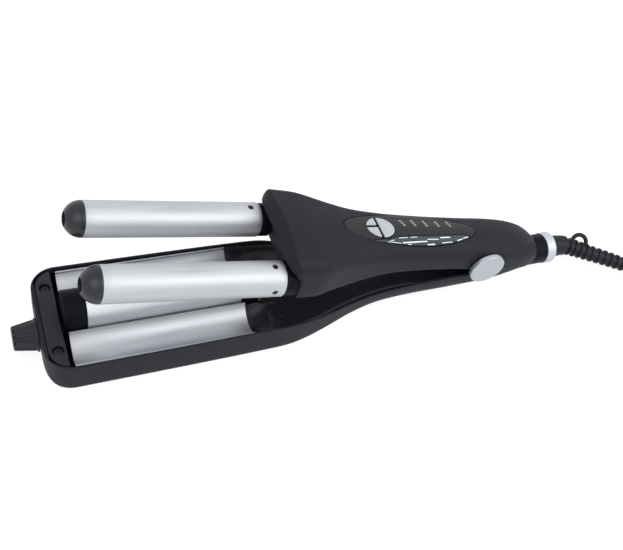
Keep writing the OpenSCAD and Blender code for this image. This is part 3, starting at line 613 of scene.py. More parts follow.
def shell_half(s, wall):
    rnd = quarter(FACE_R, FRONT - s)
    a = rows_at(SHELL, s, A) - wall - rnd * 0.8
    b = rows_at(SHELL, s, CROWN) - wall - rnd
    lug = math.sqrt(LUG_R**2 - s * s) if abs(s) < LUG_R else 0
    c = max(rows_at(SHELL, s, SKIRT), lug) - rnd * 0.5
    r = max(1, rows_at(SHELL, s, CORNER) - wall)
    t = rows_at(SHELL, s, TUCK)
    crown = BULGE * a
    out = []
    for k in range(7):
        f = rad(15 * k)
        out.append((a - t + t * math.sin(f), -c + 2.4 * t * (1 - math.cos(f))))
    z0, z1 = out[-1][1], b - crown - r
    out += [(a, z0 + (z1 - z0) * f) for f in (0.33, 0.67)]
    out += arc(r, 0, 90, 12, a - r, z1)
    for k in range(6, -1, -1):
        y = (a - r) * k / 7
        out.append((y, b - crown * (y / (a - r)) ** 2))
    return out


def crown_z(s, y):
    a, b, r = (rows_at(SHELL, s, k) for k in (A, CROWN, CORNER))
    y = abs(y)
    return b - BULGE * a * min(1, y / (a - r)) ** 2 - quarter(r, a - y)


def head_set(s, y, z):
    """How far a point of the head lies behind its station; f runs down the face from the crown."""
    a, b, c = (rows_at(SHELL, s, k) for k in (A, CROWN, SKIRT))
    f = (b - z) / (b + c)
    dip = DIP * (1 - (y / a) ** 2) * (1 - f)
    brow = BROW * max(0, 1 - f / 0.3)
    nest = NEST * ease(f, NEST_FROM, 0.14) * (1 - f) / 0.52
    ends = ENDS * min(1, abs(y) / a) ** 8 * (1 - f * f)
    return clamp((s - HEAD_FROM) / HEAD_RUN) * (dip + brow + LEAN * f**2 + nest + ends)


def rounded(ring, corners, q):
    """The ring with short curves of four points in place of the given corners."""
    out = []
    for i, p in enumerate(ring):
        if i not in corners:
            out.append(p)
            continue
        p, a, c = Vector(p), Vector(ring[i - 1]), Vector(ring[(i + 1) % len(ring)])
        s = p + (a - p).normalized() * min(q, (a - p).length * 0.45)
        e = p + (c - p).normalized() * min(q, (c - p).length * 0.45)
        for t in (0, 1 / 3, 2 / 3, 1):
            out.append(tuple((1 - t) ** 2 * s + 2 * t * (1 - t) * p + t * t * e))
    return out


def shell_outline(s, hollow):
    outer = both(shell_half(s, 0))
    half = shell_half(s, rows_at(SHELL, s, SHELL_WALL))
    inner = both(half if hollow else flat(half))
    n = len(outer)
    return rounded(outer + inner[::-1], {0, n - 1, n, 2 * n - 1}, 0.45)


def shell_3d(s, ring):
    shift = REAR_PULL * min(0, s - REAR_FROM)
    return [(-s + shift + head_set(s, y, z), y, z) for y, z in ring]


def make_upper_shell():
    # closer stations where the lugs curve; the shell is solid in front of 127.3
    hollow = spans((-47, -42, 1), (-42, -9.4, 2), (-9.4, -7.6, 0.3), (-7.6, 7.6, 0.95), (7.6, 9.4, 0.3),
                   (9.4, 100, 2.2), (100, 127.3, 1.4))
    rings = [shell_3d(s, shell_outline(s, True)) for s in hollow + [127.3]]
    solid = spans((127.6, FRONT - FACE_R, 1.6))
    solid += [FRONT - FACE_R * (1 - math.sin(rad(a))) for a in range(0, 91, 10)]
    rings += [shell_3d(s, shell_outline(s, False)) for s in solid]
    # front face: rows from the outer line to the lower edge
    n = len(rings[-1])
    last = shell_outline(FRONT, False)
    half = n // 2
    verts = [p for r in rings for p in r]
    faces = [tuple(range(n - 1, -1, -1))] + ring_faces(len(rings), n)
    base = (len(rings) - 1) * n
    rows = 36
    grid = [[base + i for i in range(half)]]
    for k in range(1, rows):
        row = []
        for i in range(half):
            (y0, z0), (y1, z1) = last[i], last[n - 1 - i]
            t = k / rows
            y, z = y0 + (y1 - y0) * t, z0 + (z1 - z0) * t
            row.append(len(verts))
            verts.append((-FRONT + head_set(FRONT, y, z), y, z))
        grid.append(row)
    grid.append([base + n - 1 - i for i in range(half)])
    for k in range(rows):
        for i in range(half - 1):
            faces.append((grid[k][i], grid[k][i + 1], grid[k + 1][i + 1], grid[k + 1][i]))
    # the two end columns close the gap between neighbouring ring points
    for i in (0, half - 1):
        faces.append(tuple(g[i] for g in grid))
    return raw("upper_shell_skin", verts, faces, shell)


LEAF_MID, LEAF_L, LEAF_W = -53.2, 47.0, 12.0


def leaf_power(c):
    """The leaf is a little more pointed towards the cord."""
    return 1.05 + 0.15 * c


def leaf_line(inset):
    out = []
    for k in range(144):
        c, s = math.cos(rad(2.5 * k)), math.sin(rad(2.5 * k))
        y = (LEAF_W - inset) * math.copysign(abs(s) ** leaf_power(c), s)
        out.append((LEAF_MID + (LEAF_L - inset) * c, y))
    return out


def leaf_y(x):
    c = max(-1, min(1, (x - LEAF_MID) / LEAF_L))
    return LEAF_W * math.sqrt(1 - c * c) ** leaf_power(c)


def on_crown(drop):
    return lambda x, y: crown_z(-x, y) - drop


def leaf_cutter(line, wide, bottom, flare=0.35):
    """Cutter whose walls open out a little at the crown; bottom is a function of (x, y)."""
    rings = [[(x, y, bottom(x, y)) for x, y in line]]
    for outline, drop in ((line, flare), (wide, -0.02), (wide, -2.5)):
        rings.append([(x, y, crown_z(-x, y) - drop) for x, y in outline])
    return loft("cutter", rings, shell)


BY = 21.2
POCKET = [(0, 10.0), (12.5, 10.0), (12.5, 7.0), (22.5, 7.0)]
skin = make_upper_shell()
cut(skin, leaf_cutter(leaf_line(0), leaf_line(-0.3), lambda x, y: 6.0))
cut(skin, *[revolve("cutter", POCKET, (-146, y, 0), "x", 96, shell) for y in (-BY, BY)])
finish(skin, HOUSING, "upper_jaw", 36, ["upper_shell"])

# ---- control panel ----

BUTTON_AT, BUTTON_L, BUTTON_W = -75.8, 8.9, 7.2
BUTTON_CUT, SLOT_W = -76.9, 1.7


def oval(grow):
    turns = [2 * math.pi * k / 96 for k in range(96)]
    return [(BUTTON_AT + (BUTTON_L + grow) * math.cos(t), (BUTTON_W + grow) * math.sin(t)) for t in turns]


def window_line(inset):
    def outer(x):
        return -(leaf_y(x) - 0.3 - 0.6 * (x + 83) / 70 - inset)

    marks = [(-84, -8.6), (-67, -6.15), (-51, -4.75), (-36, -4.1), (-17.7, -3.3), (-12, -3.9)]

    def inner(x):
        i = 0
        while i < len(marks) - 2 and x > marks[i + 1][0]:
            i += 1
        (xa, ya), (xb, yb) = marks[i], marks[i + 1]
        y = ya + (yb - ya) * (x - xa) / (xb - xa)
        t = (x - BUTTON_AT) / (BUTTON_L + 1.05)
        if abs(t) < 1:
            y = min(y, -(BUTTON_W + 1) * math.sqrt(1 - t * t))
        return y - inset

    xs = [-83.2 + inset * 2 + (70.2 - inset * 3) * i / 60 for i in range(61)]
    low = [(x, outer(x)) for x in xs]
    high = [(x, max(inner(x), outer(x) + 0.25)) for x in reversed(xs)]
    return low + high


panel = slab("control_panel_skin", leaf_line(0.36), 10.0, on_crown(0.02), 0.4, shell, inner=16)
button_well = leaf_cutter(oval(0.35), oval(0.6), lambda x, y: 9.0, flare=0.3)
cut(panel, button_well, leaf_cutter(window_line(0), window_line(-0.15), on_crown(0.75), flare=0.2))
finish(panel, PANEL, "upper_jaw", 30, ["control_panel"])
window = slab("display_window_lens", window_line(0.32), on_crown(1.2), on_crown(0.38), 0.12, shell, inner=5)
finish(window, WINDOW, "upper_jaw", 30, ["display_window"])


def ribbon(a, b, wide, drop, thick, taper):
    """Flat strip on the crown between two points given as (distance in front of the hinge, y)."""
    p, q = Vector((-a[0], a[1])), Vector((-b[0], b[1]))
    d = (q - p).normalized()
    w = Vector((-d.y, d.x)) * wide / 2
    n, right, left = 8, [], []
    for i in range(n + 1):
        u = i / n
        k = 1 - taper * (2 * u - 1) ** 4
        c = p.lerp(q, u)
        right.append(tuple(c - w * k))
        left.append(tuple(c + w * k))
    edge = min(0.05, wide / 6)
    return slab("strip", right + left[::-1], on_crown(drop + thick), on_crown(drop), edge, shell, 2, 2)


# start, end and width of each bar
BARS = [
    ((65.8, -6.75), (59.3, -6.3), 0.55), ((57.5, -6.2), (52.3, -5.8), 0.5),
    ((35.8, -5.8), (28.0, -5.4), 0.8), ((45.7, -7.2), (37.3, -6.9), 0.8),
    ((64.4, -10.0), (46.3, -8.6), 0.9), ((74.7, -9.6), (65.6, -10.3), 0.45),
    ((61.0, -10.8), (58.4, -10.8), 0.4), ((47.0, -10.6), (41.2, -10.3), 0.7),
    ((36.0, -9.4), (27.9, -8.6), 0.6), ((24.0, -7.6), (19.4, -6.4), 0.8),
    ((18.7, -5.9), (14.4, -4.9), 0.6), ((72.5, -8.9), (69.4, -8.2), 0.5),
]
bars = join("display_bars_print", *[ribbon(a, b, wide, 0.36, 0.12, 0.15) for a, b, wide in BARS])
finish(bars, SEGMENT, "upper_jaw", 30, ["display_bars"])

MARKS = [((59.4, 7.1), (57.8, 1.5)), ((50.8, 7.5), (50.2, 1.8)), ((42.5, 7.2), (41.8, 1.7)),
         ((33.5, 7.2), (33.1, 1.9)), ((25.1, 7.2), (24.1, 2.3))]
dashes = []
for a, b in MARKS:
    a, b = Vector(a), Vector(b)
    for u0, u1 in ((0.02, 0.3), (0.36, 0.64), (0.7, 0.98)):
        dashes.append(ribbon(a.lerp(b, u0), a.lerp(b, u1), 1.9, -0.03, 0.1, 0.3))
finish(join("scale_marks_print", *dashes), PRINT, "upper_jaw", 30)


def button_top(x, y, drop=0.0):
    return 16.6 - 0.22 * (((x - BUTTON_AT) / BUTTON_L) ** 2 + (y / BUTTON_W) ** 2) - drop


half_slot, side_slot = SLOT_W / 2, 0.9
front_half = clip(oval(0), -1, 0, -(BUTTON_CUT - half_slot))
# name, body, outline and place of the stem
KEYS = (
    ("power_button", "power_key", clip(oval(0), 1, 0, BUTTON_CUT + half_slot), (-71.5, 0)),
    ("heat_up_button", "heat_up_key", clip(front_half, 0, 1, side_slot + half_slot), (-79.8, 3.9)),
    ("heat_down_button", "heat_down_key", clip(front_half, 0, -1, half_slot - side_slot), (-79.8, -3.2)),
)
for name, body, line, spot in KEYS:
    o = slab(name + "_cap", line, lambda x, y: button_top(x, y, 0.75), button_top, 0.3, shell)
    finish(o, SILVER, body, 35, [name])
    line = inset_line(line, 0.12)
    core = slab("core", line, 11.4, lambda x, y: button_top(x, y, 0.7), 0.05, shell, inner=2)
    stem = rod("stem", (*spot, 10.05), (*spot, 11.6), 1.3, place=shell, edge=0.2)
    finish(join(name + "_core", core, stem), NECK, body, 35)

# ---- upper barrels ----

TIP, ROOT, R = -236.0, -140.6, 9.5
LONG, BORE, COLLAR = ROOT - TIP, R - 1.2, -151.4


def root_ups(y):
    """Outward directions of the two screws at the root of a barrel."""
    return [Vector((0, math.sin(rad(t)), math.cos(rad(t)))) for t in (0, math.copysign(90, y))]


tube_line = [(0.0, BORE), (0.0, R - 0.3), (0.09, R - 0.09), (0.3, R)]
tube_line += [(x, R) for x in (5, 20, 35, 50, 65, 80, 86, 87.5, 88.8, 90.4, 91.6, 93)]
tube_line += [(LONG - 0.3, R), (LONG - 0.09, R - 0.09), (LONG, R - 0.3), (LONG, BORE)]
dome_line = [(-4.8, 0.0), (-4.8, 1.7), (-4.8, 3.5), (-8.35, 3.5), (-8.62, 3.56)]
dome_line += [(-math.sqrt(R * R - q * q), q) for q in (3.62, 3.9, 4.3)] + arc(R, 150, 95, 11)
dome_line += [(-0.22, R - 0.01), (-0.04, R - 0.12), (0.0, R - 0.35)]
dome_line += [(0.0, 8.2), (7.9, 8.15), (8, 8.0), (8, 0.0)]
collar_line = [(0, 3.4), (0, 7.9), (0.3, 8.2), (10.8, 8.2), (10.9, R - 0.9), (11.1, R - 0.5), (11.7, R - 0.4),
               (17.2, R - 0.4), (17.6, R - 0.8), (17.6, 6.9), (27.0, 6.9), (27.2, 6.7), (27.2, 3.4)]
cap_screws, root_screws, collars = [], [], []
for side, y in (("left", BY), ("right", -BY)):
    tube = ring_solid("barrel_%s_tube" % side, tube_line, (TIP, y, 0), "x", 144, shell)
    root = Vector((ROOT - 5.8, y, 0))
    cut(tube, *[rod("hole", root + 6 * up, root + 11 * up, 1.6, 32, shell) for up in root_ups(y)])
    finish(tube, BARREL, "upper_jaw", 40, ["barrel_" + side])
    cap = revolve("barrel_cap_%s_dome" % side, dome_line, (TIP, y, 0), "x", 96, shell)
    finish(cap, DOME, "upper_jaw", 40, ["barrel_cap_" + side])
    cap_screws.append(cross_screw("s", (TIP - 6.3, y, 0), (-1, 0, 0), 2.9, 1.4, shell))
    collars.append(ring_solid("c", collar_line, (COLLAR, y, 0), "x", 96, shell))
    root_screws += [cross_screw("s", root + (R - 0.15) * up, up, 1.42, 1.1, shell, 32) for up in root_ups(y)]
finish(join("cap_screw_heads", *cap_screws), SCREW, "upper_jaw", 30, ["cap_screws"])
finish(join("barrel_collar_rings", *collars), NECK, "upper_jaw", 35, ["barrel_collars"])
finish(join("root_screw_heads", *root_screws), SCREW, "upper_jaw", 30, ["root_screws"])

# ---- lower housing ----

# front end of the tray, and how it is rounded as seen from above and from the side
NOSE_X, NOSE_R, NOSE_UP = -14.2, 14, 6.5
LUG, SCREW_Y = 5.5, 20.4
DECK_SCREWS = ((113, -22), (113, 22), (205, 0))


def tray_half(x, wall):
    a = rows_at(TRAY, x, A) - quarter(NOSE_R, x - NOSE_X) - wall
    rim = rows_at(TRAY, x, RIM)
    r = max(1, rows_at(TRAY, x, TRAY_CORNER) - wall)
    low = -rows_at(TRAY, x, DEPTH) + quarter(NOSE_UP, x - NOSE_X) + wall
    out = [(a, rim + (low + r - rim) * f) for f in (0, 0.08, 0.3, 0.6)]
    out += arc(r, 0, -90, 15, a - r, low + r)
    out += [((a - r) * f, low) for f in (0.75, 0.5, 0.25, 0.0)]
    return out


def tray_outline(x, hollow):
    outer = both(tray_half(x, 0))
    half = tray_half(x, 1.1 + 0.7 * ease(x, 196, 8))
    inner = both(half if hollow else flat(half))
    n = len(outer)
    ring = rounded(outer + inner[::-1], {0, n - 1, n, 2 * n - 1} if hollow else {0, n - 1}, 0.42)
    return [(x, y, z) for y, z in ring]


def make_tray():
    solid = [tray_outline(NOSE_X + 2.0 * (1 - math.cos(rad(a))), False) for a in range(0, 91, 15)]
    hollow = [-12.0 + 14 * (1 - math.cos(rad(a))) for a in range(0, 90, 6)]
    hollow += spans((2, 104, 6), (104, 200, 2.2), (200, 256, 3.5), (256, 280, 1.6))
    # an open ring has two more rounded corners, so the closed ones repeat the points there
    half = len(solid[0]) // 2
    solid = [r[:half] + [r[half]] * 3 + r[half:] + [r[-1]] * 3 for r in solid]
    return loft("tray", solid + [tray_outline(x, True) for x in hollow + [280]])


pieces = [make_tray()]
lug_line = [(HX - LUG, -13.5), (HX + LUG, -13.5), (HX + LUG, HZ)]
lug_line += arc(LUG, 10, 170, 16, HX, HZ) + [(HX - LUG, HZ)]
lug_edge = inset_line(lug_line, 0.4)
for side in (1, -1):
    rings = []
    for y, line in ((9.6, lug_edge), (10.0, lug_line), (12.8, lug_line), (13.2, lug_edge)):
        rings.append([(x, side * y, z) for x, z in line])
    pieces.append(loft("lug", rings))
    pieces.append(rod("guide", (49, side * 5.5, -20), (49, side * 5.5, 0), 2, edge=0.4))
    y = side * SCREW_Y
    pieces.append(rod("post", (-7, y, -20), (-7, y, -3.2), 2.1, edge=0.3))
pieces += [rod("post", (x, y, -20), (x, y, -7.2), 3, edge=0.3) for x, y in DECK_SCREWS]
finish(join("lower_housing_skin", *pieces), HOUSING, "base", 36, ["lower_housing"])

# plate over the nose
cover_line = arc(10.7, 180, 270, 20, -1.2, -20.6) + arc(10.7, 90, 180, 20, -1.2, 20.6)
plate = slab("plate", clip(cover_line, -1, 0, 3.0), -1.6, 1.2, 0.45, inner=3)
well = [(0, 1.7), (1.35, 1.7), (1.4, 2.7), (3.3, 2.8), (3.9, 3.3), (6, 3.3)]
cut(plate, *[revolve("well", well, (-7, y, -2.6), "z", 48) for y in (SCREW_Y, -SCREW_Y)])
wall = slab("wall", box_line(-4.6, -29, -3.05, 29, 0.3, 3), -9, -1.2, 0.2, inner=2)
cut(wall, slab("cutter", box_line(-6, -6, -1, 6), -12, -4, 0.001, inner=2))
finish(join("front_cover_plate", plate, wall), CAP, "base", 36, ["front_cover"])
screws = [cross_screw("s", (-7, y, -0.15), (0, 0, 1), 2.4, 1.05) for y in (SCREW_Y, -SCREW_Y)]
screws += [rod("s", (-7, y, -2.4), (-7, y, -0.6), 1.5, edge=0.1) for y in (SCREW_Y, -SCREW_Y)]
finish(join("cover_screw_heads", *screws), SCREW, "base", 30, ["cover_screws"])

# troughs: radii of the sheet, height of their axis, inner edge from the axis and outer edge
IN_R, OUT_R, AXIS_Z, REACH, EDGE = 11.2, 12.8, 5, 10.5, 31.3
lip = EDGE - 0.9


def arc_end(y, r):
    """Angle at which an arc of the trough is y away from its axis, measured from the side."""
    return math.degrees(math.acos(y / r))


trough_line = arc(OUT_R, arc_end(REACH, OUT_R) - 180, -arc_end(EDGE - BY, OUT_R), 40, BY, AXIS_Z)
trough_line += [(EDGE, -2.0), (EDGE, -0.15), (EDGE - 0.15, 0.0), (lip + 0.12, 0.0), (lip, -0.12)]
trough_line += arc(IN_R, -arc_end(lip - BY, IN_R), arc_end(REACH, IN_R) - 180, 48, BY, AXIS_Z)
for side, line in (("left", trough_line), ("right", [(-y, z) for y, z in reversed(trough_line)])):
    o = extrude_x("channel_plate_%s_sheet" % side, line, 0, 95, 0.18, 0.18)
    finish(o, TROUGH_WITH_PAINTED_SHADE, "base", 35, ["channel_plate_" + side])


def sheet(name, rows, drop):
    """Thick sheet under rows of points."""
    return loft(name, [row + [(x, y, z - drop) for x, y, z in reversed(row)] for row in rows])


def deck_floor(x):
    return -5.2 - max(0, (x - 200) / 40)


def deck_z(x, y):
    """Deck height: the troughs' hollow runs out behind them, and the sides turn up to the rim."""
    inner = rows_at(TRAY, x, A) - 1.3
    z = deck_floor(x) + 3.2 * quarter(1, (inner - abs(y)) / 4.5) * ease(206 - x, 0, 12)
    w = 1 - ease(x, 97, 17)
    d = abs(abs(y) - BY)
    if w > 0 and d < IN_R - 0.1:
        z += (AXIS_Z - math.sqrt(IN_R**2 - d * d) - z) * w
    return min(z, -0.6)


def deck_rows(xs, y_of):
    """Rows of the deck's points; the first and the last row lie lower, as a rounded end."""
    rows = [[(x, y, deck_z(x, y)) for y in y_of(x)] for x in xs]
    for k in (0, -1):
        rows[k] = [(x, y, z - 0.5) for x, y, z in rows[k]]
    return rows


def deck_w(x):
    return rows_at(TRAY, x, A) - 1.25 - 0.9 * ease(x, 196, 8)


def whole_width(x):
    return [deck_w(x) * k / 30 for k in range(-30, 31)]


def left_tail(x):
    return [11 + (deck_w(x) - 11) * k / 36 for k in range(37)]


def right_tail(x):
    return [-y for y in reversed(left_tail(x))]


main = sheet("deck", deck_rows(spans((107, 233, 2)) + [233], whole_width), 1.2)
well = [(0, 1.6), (1.4, 1.6), (1.45, 2.8), (2.4, 2.8), (2.8, 3.1), (6, 3.1)]
cut(main, *[revolve("well", well, (x, y, -7.3), "z", 48) for x, y in DECK_SCREWS])
tail_x = spans((95.4, 107, 1.45)) + [107]
tails = [sheet("tail", deck_rows(tail_x, y_of), 1.2) for y_of in (left_tail, right_tail)]
finish(join("inner_cover_deck", main, *tails), COVER_WITH_PAINTED_SHADE, "base", 40, ["inner_cover"])
screws = [cross_screw("s", (x, y, deck_floor(x) + 0.45), (0, 0, 1), 2.6, 1.35) for x, y in DECK_SCREWS]
finish(join("deck_screw_heads", *screws), SCREW, "base", 30, ["inner_cover_screws"])

# ---- centre barrel ----

CZ, CR = 7.2, 9.8
FOOT = -6.0


def arch_line(r, foot, notch=0.0):
    out = arc(r, 0, 180, 48, 0, CZ) + [(-r, foot)]
    if notch:
        out += [(-2.8, foot), (-2.8, notch), (2.8, notch), (2.8, foot)]
    return out + [(r, foot)]


def tunnel_line(r, wall, foot):
    q = r - wall
    return arch_line(r, foot)[:-1] + [(-q, foot)] + arc(q, 180, 0, 48, 0, CZ) + [(q, foot), (r, foot)]


barrel = extrude_x("centre_barrel_sheet", tunnel_line(CR, 1.4, FOOT), 10, 93, 0.15, 0.15)
finish(barrel, SHADE_LIFTED_ALU, "centre", 35, ["centre_barrel"])
cap_line, spigot_line = arch_line(CR, FOOT + 0.5, FOOT + 1.8), arch_line(CR - 1.55, -1.9)
# start, end and edge radii of each cap and of its spigot
CENTRE_CAPS = (
    ("centre_cap_front", (-1.6, 9.95, 0.8, 0.12), (9.8, 14.8, 0.01, 0.3)),
    ("centre_cap_rear", (93.05, 102.05, 0.12, 0.8), (88, 93.2, 0.3, 0.01)),
)
for name, cap, spigot in CENTRE_CAPS:
    cap, spigot = extrude_x("cap", cap_line, *cap, steps=6), extrude_x("spigot", spigot_line, *spigot)
    finish(join(name + "_skin", cap, spigot), NECK, "centre", 35, [name])

# ---- adjuster knob ----

SHAFT_Z, FLUTES = -11.5, 12
TIP_X, KNOB_LEN = -27.2, 12.0


def fluted(t, h, r):
    """Grooves with round bottoms between narrower ribs; they run out before the flange."""
    depth = 0.85 * ease(h, 0.5, 0.9) * ease(KNOB_LEN - 0.25 - h, 0, 1.2)
    return r - depth * (0.5 + 0.5 * math.cos(FLUTES * t)) ** 0.6


rows = [(0.0, 0.0), (0.0, 3.0), (0.0, 5.6), (0.12, 6.1), (0.4, 6.45)]
rows += [(0.9 + 11.1 * k / 30, 6.6 + 1.9 * k / 30) for k in range(31)]
rows += [(12.0, 8.9), (11.85, 9.02), (12.0, 9.1), (12.65, 9.1), (12.8, 8.95)]
rows += [(12.8, 2.25), (2.4, 2.25), (2.4, 0.0)]
knob = revolve("adjuster_knob_fluted", rows, (TIP_X, 0, SHAFT_Z), "x", 288, shape=fluted)
finish(knob, CAP, "adjuster", 30, ["adjuster_knob"])

# ---- hinge cap ----

profile = [(16.8, 0.0), (16.8, 6.0), (17.4, 6.0), (17.4, 10.8)] + arc(0.2, 180, 90, 3, 17.6, 10.9)
profile += [(19.4 + 0.55 * math.sin(rad(a)), 10.4 + 0.6 * math.cos(rad(a))) for a in range(0, 90, 10)]
profile += [(19.95 + 0.15 * (1 - (r / 10.4) ** 2), r) for r in (9.7, 9, 7, 5, 3, 1.5, 0.0)]
finish(revolve("pivot_cap_dome", profile, (HX, 0, HZ), "-y", 128), RING, "base", 35, ["pivot_cap"])

# ---- neck, ring and swivel ----

NZ, RX = -9.4, 300.2
profile = [(268, 0.0), (268, 7.1), (268.3, 7.4), (280, 7.4), (280, 9.0), (280.4, 9.4), (299.6, 9.4)]
profile += [(299.85, 9.33), (299.98, 9.1), (300, 8.7), (300, 5.6), (281, 5.6), (281, 0.0)]
neck = revolve("neck_socket_skin", profile, (0, 0, NZ), "x", 128)
slit = box_line(289.9, -5.0, 291.3, 1.8, 0.5, 4)
cut(neck, loft("slit", [[(x, y, NZ + z) for x, y in slit] for z in (6.9, 10.4)]))
finish(neck, NECK, "base", 35, ["neck_socket"])
profile = [(0, 6.8), (0, 9.42), (-0.8, 9.42)] + arc(0.45, 170, 90, 8, -0.35, 9.45) + [(2.5, 9.9), (4.4, 9.9)]
profile += [(4.6 + 1.15 * math.sin(rad(a)), 8.7 + 1.2 * math.cos(rad(a))) for a in range(0, 91, 9)]
profile += [(5.78, 7.6), (5.6, 6.8)]
finish(ring_solid("neck_ring_band", profile, (RX, 0, NZ), "x", 128), BAND, "base", 35, ["neck_ring"])

RELIEF = [(306.8, 0, -9.4), (317, -0.6, -9.6), (325, -4.2, -10.4), (333, -8.8, -11.2), (342, -13.6, -12.2),
          (351, -18.2, -13.5), (360, -22.8, -14.9), (369, -27.4, -16.2)]


def along(points, u):
    """Smooth route through the points; u counts them."""
    i = min(int(u), len(points) - 2)
    p = [Vector(points[min(max(k, 0), len(points) - 1)]) for k in (i - 1, i, i + 1, i + 2)]
    return hermite(u - i, p[1], p[2], (p[2] - p[0]) / 2, (p[3] - p[1]) / 2)


def relief_r(j):
    """Radius along the relief; j counts its route in quarters of its points, as the ribs are spaced."""
    core = 4.9 - 1.6 * max(0, j - 5) / 23
    sleeve = 6.8 - 0.55 * (j / 4.3) ** 2 - quarter(0.5, 2 * j)
    off = 2.6 * min(abs(j - 6 - 1.75 * i) for i in range(13))
    rib = 1 - quarter(1, (0.95 - off) / 0.3)
    return core + (sleeve - core) * (1 - ease(j, 4.4, 0.5)) + 0.9 * rib


quarters = [i / 20 for i in range(561)]
relief = swept("relief", [along(RELIEF, j / 4) for j in quarters], [relief_r(j) for j in quarters], 64)
loop_at, loop_r, wire_r = Vector((327.6, -2.6, -6.4)), 4.7, 1.35
turn = Matrix.Rotation(rad(-22), 3, "Z") @ Matrix.Rotation(rad(45), 3, "X")
rings = []
for i in range(72):
    a = 2 * math.pi * i / 72
    out = turn @ Vector((math.cos(a), math.sin(a), 0))
    rings.append(around(loop_at + loop_r * out, out, turn @ Vector((0, 0, 1)), wire_r, 20))
loop = loft("loop", rings + rings[:1], caps=False)
finish(join("strain_relief_ribbed", relief, loop), RUBBER, "cord", 40, ["strain_relief"])

# ---- tie and plug ----

TX, TY = COIL[0] + 32, COIL[1]
band_out = box_line(-10.3, 0.25, 10.3, 19.05, 3.4, 8)
band_in = box_line(-9.75, 0.8, 9.75, 18.35, 3.0, 8)


def band(line, y, d):
    return [(TX + x, TY + y, BASE + z) for x, z in inset_line(line, d)]


outside = [band(band_out, y, d) for y, d in ((-4.0, 0.2), (-3.8, 0.0), (3.8, 0.0), (4.0, 0.2))]
inside = [band(band_in, y, d) for y, d in ((4.0, -0.2), (3.8, 0.0), (-3.8, 0.0), (-4.0, -0.2))]
tie = loft("cord_tie_band", outside + inside + outside[:1], caps=False)
finish(tie, COVER_WITH_PAINTED_SHADE, "cord", 40, ["cord_tie"])

PLUG_AT, PLUG_TURN = (481.0, -30.0, -15.0), rad(30)


def plug_frame(p):
    c, s = math.cos(PLUG_TURN), math.sin(PLUG_TURN)
    return jaw((PLUG_AT[0] + p[0] * c - p[1] * s, PLUG_AT[1] + p[0] * s + p[1] * c, PLUG_AT[2] + p[2]))


def plug_ring(x, wide, high, r):
    return [(x, y, z) for y, z in box_line(-wide, -high, wide, high, r, 8)]


rows = [
    (-1.0, 4.5, 4.5, 4.4), (0.4, 5.2, 4.8, 4.5), (2.5, 7.4, 5.3, 4.6), (5, 9.8, 5.7, 4.6),
    (8, 11.3, 5.95, 4.4), (11, 11.95, 6, 4.2), (15, 12, 6, 4.0), (19.5, 12, 6, 3.8),
    (20.0, 11.8, 5.8, 3.6), (20.15, 11.45, 5.45, 3.4), (20.5, 11.45, 5.45, 3.4),
    (20.65, 11.7, 5.7, 3.5), (21.6, 11.7, 5.7, 3.5), (21.9, 11.5, 5.5, 3.4), (22, 11.2, 5.2, 3.2),
]
body = loft("body", [plug_ring(*r) for r in rows], plug_frame)
sleeve = []
for i in range(81):
    h = 8.5 * i / 80
    groove = 0.45 * (0.5 - 0.5 * math.cos(2 * math.pi * h / 1.7)) if 0.6 < h < 7.4 else 0
    sleeve.append((h, 3.7 + 0.9 * h / 8 - groove - quarter(0.5, h)))
neck_piece = revolve("sleeve", sleeve, (-8, 0, 0), "x", 48, plug_frame)
finish(join("mains_plug_body", body, neck_piece), RUBBER, "cord", 40, ["mains_plug"])
profile = [(-1, 2.0), (0, 2.0), (10, 2.0), (10, 2.4), (17.6, 2.4), (18.4, 2.2), (18.85, 1.7)]
profile += [(19, 1.0), (19, 0)]
pins = [revolve("pin", profile, (22, y, 0), "x", 40, plug_frame) for y in (-9.5, 9.5)]
finish(join("plug_pins_turned", *pins), STEEL, "cord", 40, ["plug_pins"])

# ---- floor, light and view ----


def seen_rays(m):
    """Share that is 1 for rays that show the background: camera, mirror and glass rays."""
    ray = node(m, "ShaderNodeLightPath")
    seen = ray.outputs["Is Camera Ray"]
    for kind in ("Is Glossy Ray", "Is Transmission Ray"):
        either = node(m, "ShaderNodeMath", operation="MAXIMUM")
        m.node_tree.links.new(seen, either.inputs[0])
        m.node_tree.links.new(ray.outputs[kind], either.inputs[1])
        seen = either.outputs[0]
    return seen


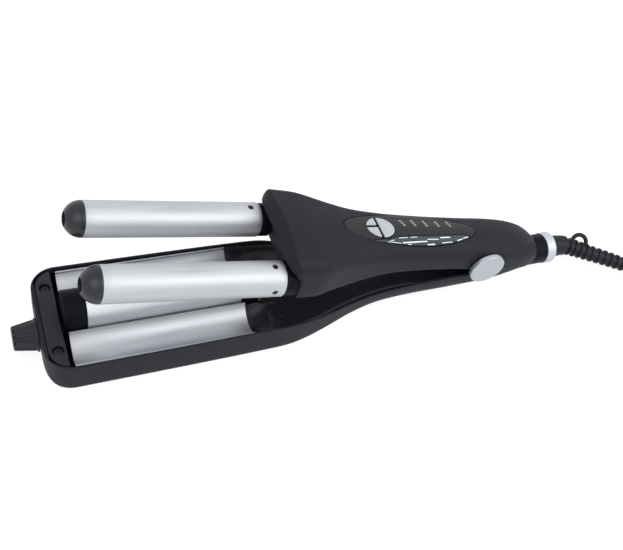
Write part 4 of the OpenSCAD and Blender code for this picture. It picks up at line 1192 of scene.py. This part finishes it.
def add_floor():
    """Pale floor that the camera sees as white, with a soft shadow under the object."""
    data = bpy.data.meshes.new("floor")
    w = 30.0
    data.from_pydata([(-w, -w, 0), (w, -w, 0), (w, w, 0), (-w, w, 0)], [], [(0, 1, 2, 3)])
    o = add("floor", data)
    m = bpy.data.materials.new("floor")
    m.use_nodes = True
    m.node_tree.nodes.clear()
    out = node(m, "ShaderNodeOutputMaterial")
    mix = node(m, "ShaderNodeMixShader")
    plain = node(m, "ShaderNodeBsdfDiffuse", Color=(0.62, 0.62, 0.63, 1))
    glow = node(m, "ShaderNodeEmission", Color=(1, 1, 1, 1), Strength=1.45)
    share = node(m, "ShaderNodeMath", operation="MULTIPLY")
    share.inputs[1].default_value = 0.6
    link = m.node_tree.links.new
    link(seen_rays(m), share.inputs[0])
    link(share.outputs[0], mix.inputs[0])
    link(plain.outputs[0], mix.inputs[1])
    link(glow.outputs[0], mix.inputs[2])
    link(mix.outputs[0], out.inputs["Surface"])
    data.materials.append(m)


def add_area(name, turn, rise, away, size, power):
    """Soft box that aims at the object from a direction given in degrees."""
    data = bpy.data.lights.new(name, "AREA")
    data.shape = "RECTANGLE"
    data.size, data.size_y = size
    data.energy = power
    turn, rise = rad(turn), rad(rise)
    at = Vector((math.cos(turn), math.sin(turn), math.tan(rise))) * math.cos(rise) * away
    o = add(name, data)
    o.location = at
    o.rotation_euler = (-at).to_track_quat("-Z", "Y").to_euler()


def add_lights():
    """A sky that is brighter overhead, and soft boxes in front."""
    world = bpy.data.worlds.new("world")
    bpy.context.scene.world = world
    world.use_nodes = True
    back = world.node_tree.nodes["Background"]
    back.inputs["Color"].default_value = (1, 1, 1, 1)
    place = node(world, "ShaderNodeTexCoord")
    split = node(world, "ShaderNodeSeparateXYZ")
    level = node(world, "ShaderNodeMapRange", interpolation_type="SMOOTHSTEP", To_Min=0.45, To_Max=0.8)
    shown = node(world, "ShaderNodeMix", B=1.0)
    link = world.node_tree.links.new
    link(place.outputs["Generated"], split.inputs[0])
    link(split.outputs["Z"], level.inputs["Value"])
    link(seen_rays(world), shown.inputs["Factor"])
    link(level.outputs["Result"], shown.inputs["A"])
    link(shown.outputs["Result"], back.inputs["Strength"])
    add_area("key", -43, 45, 1.1, (0.9, 0.7), 5.2)
    add_area("fill", -140, 50, 1.3, (0.8, 0.8), 3.0)


add_floor()
add_lights()
bpy.context.scene.view_settings.view_transform = "Standard"
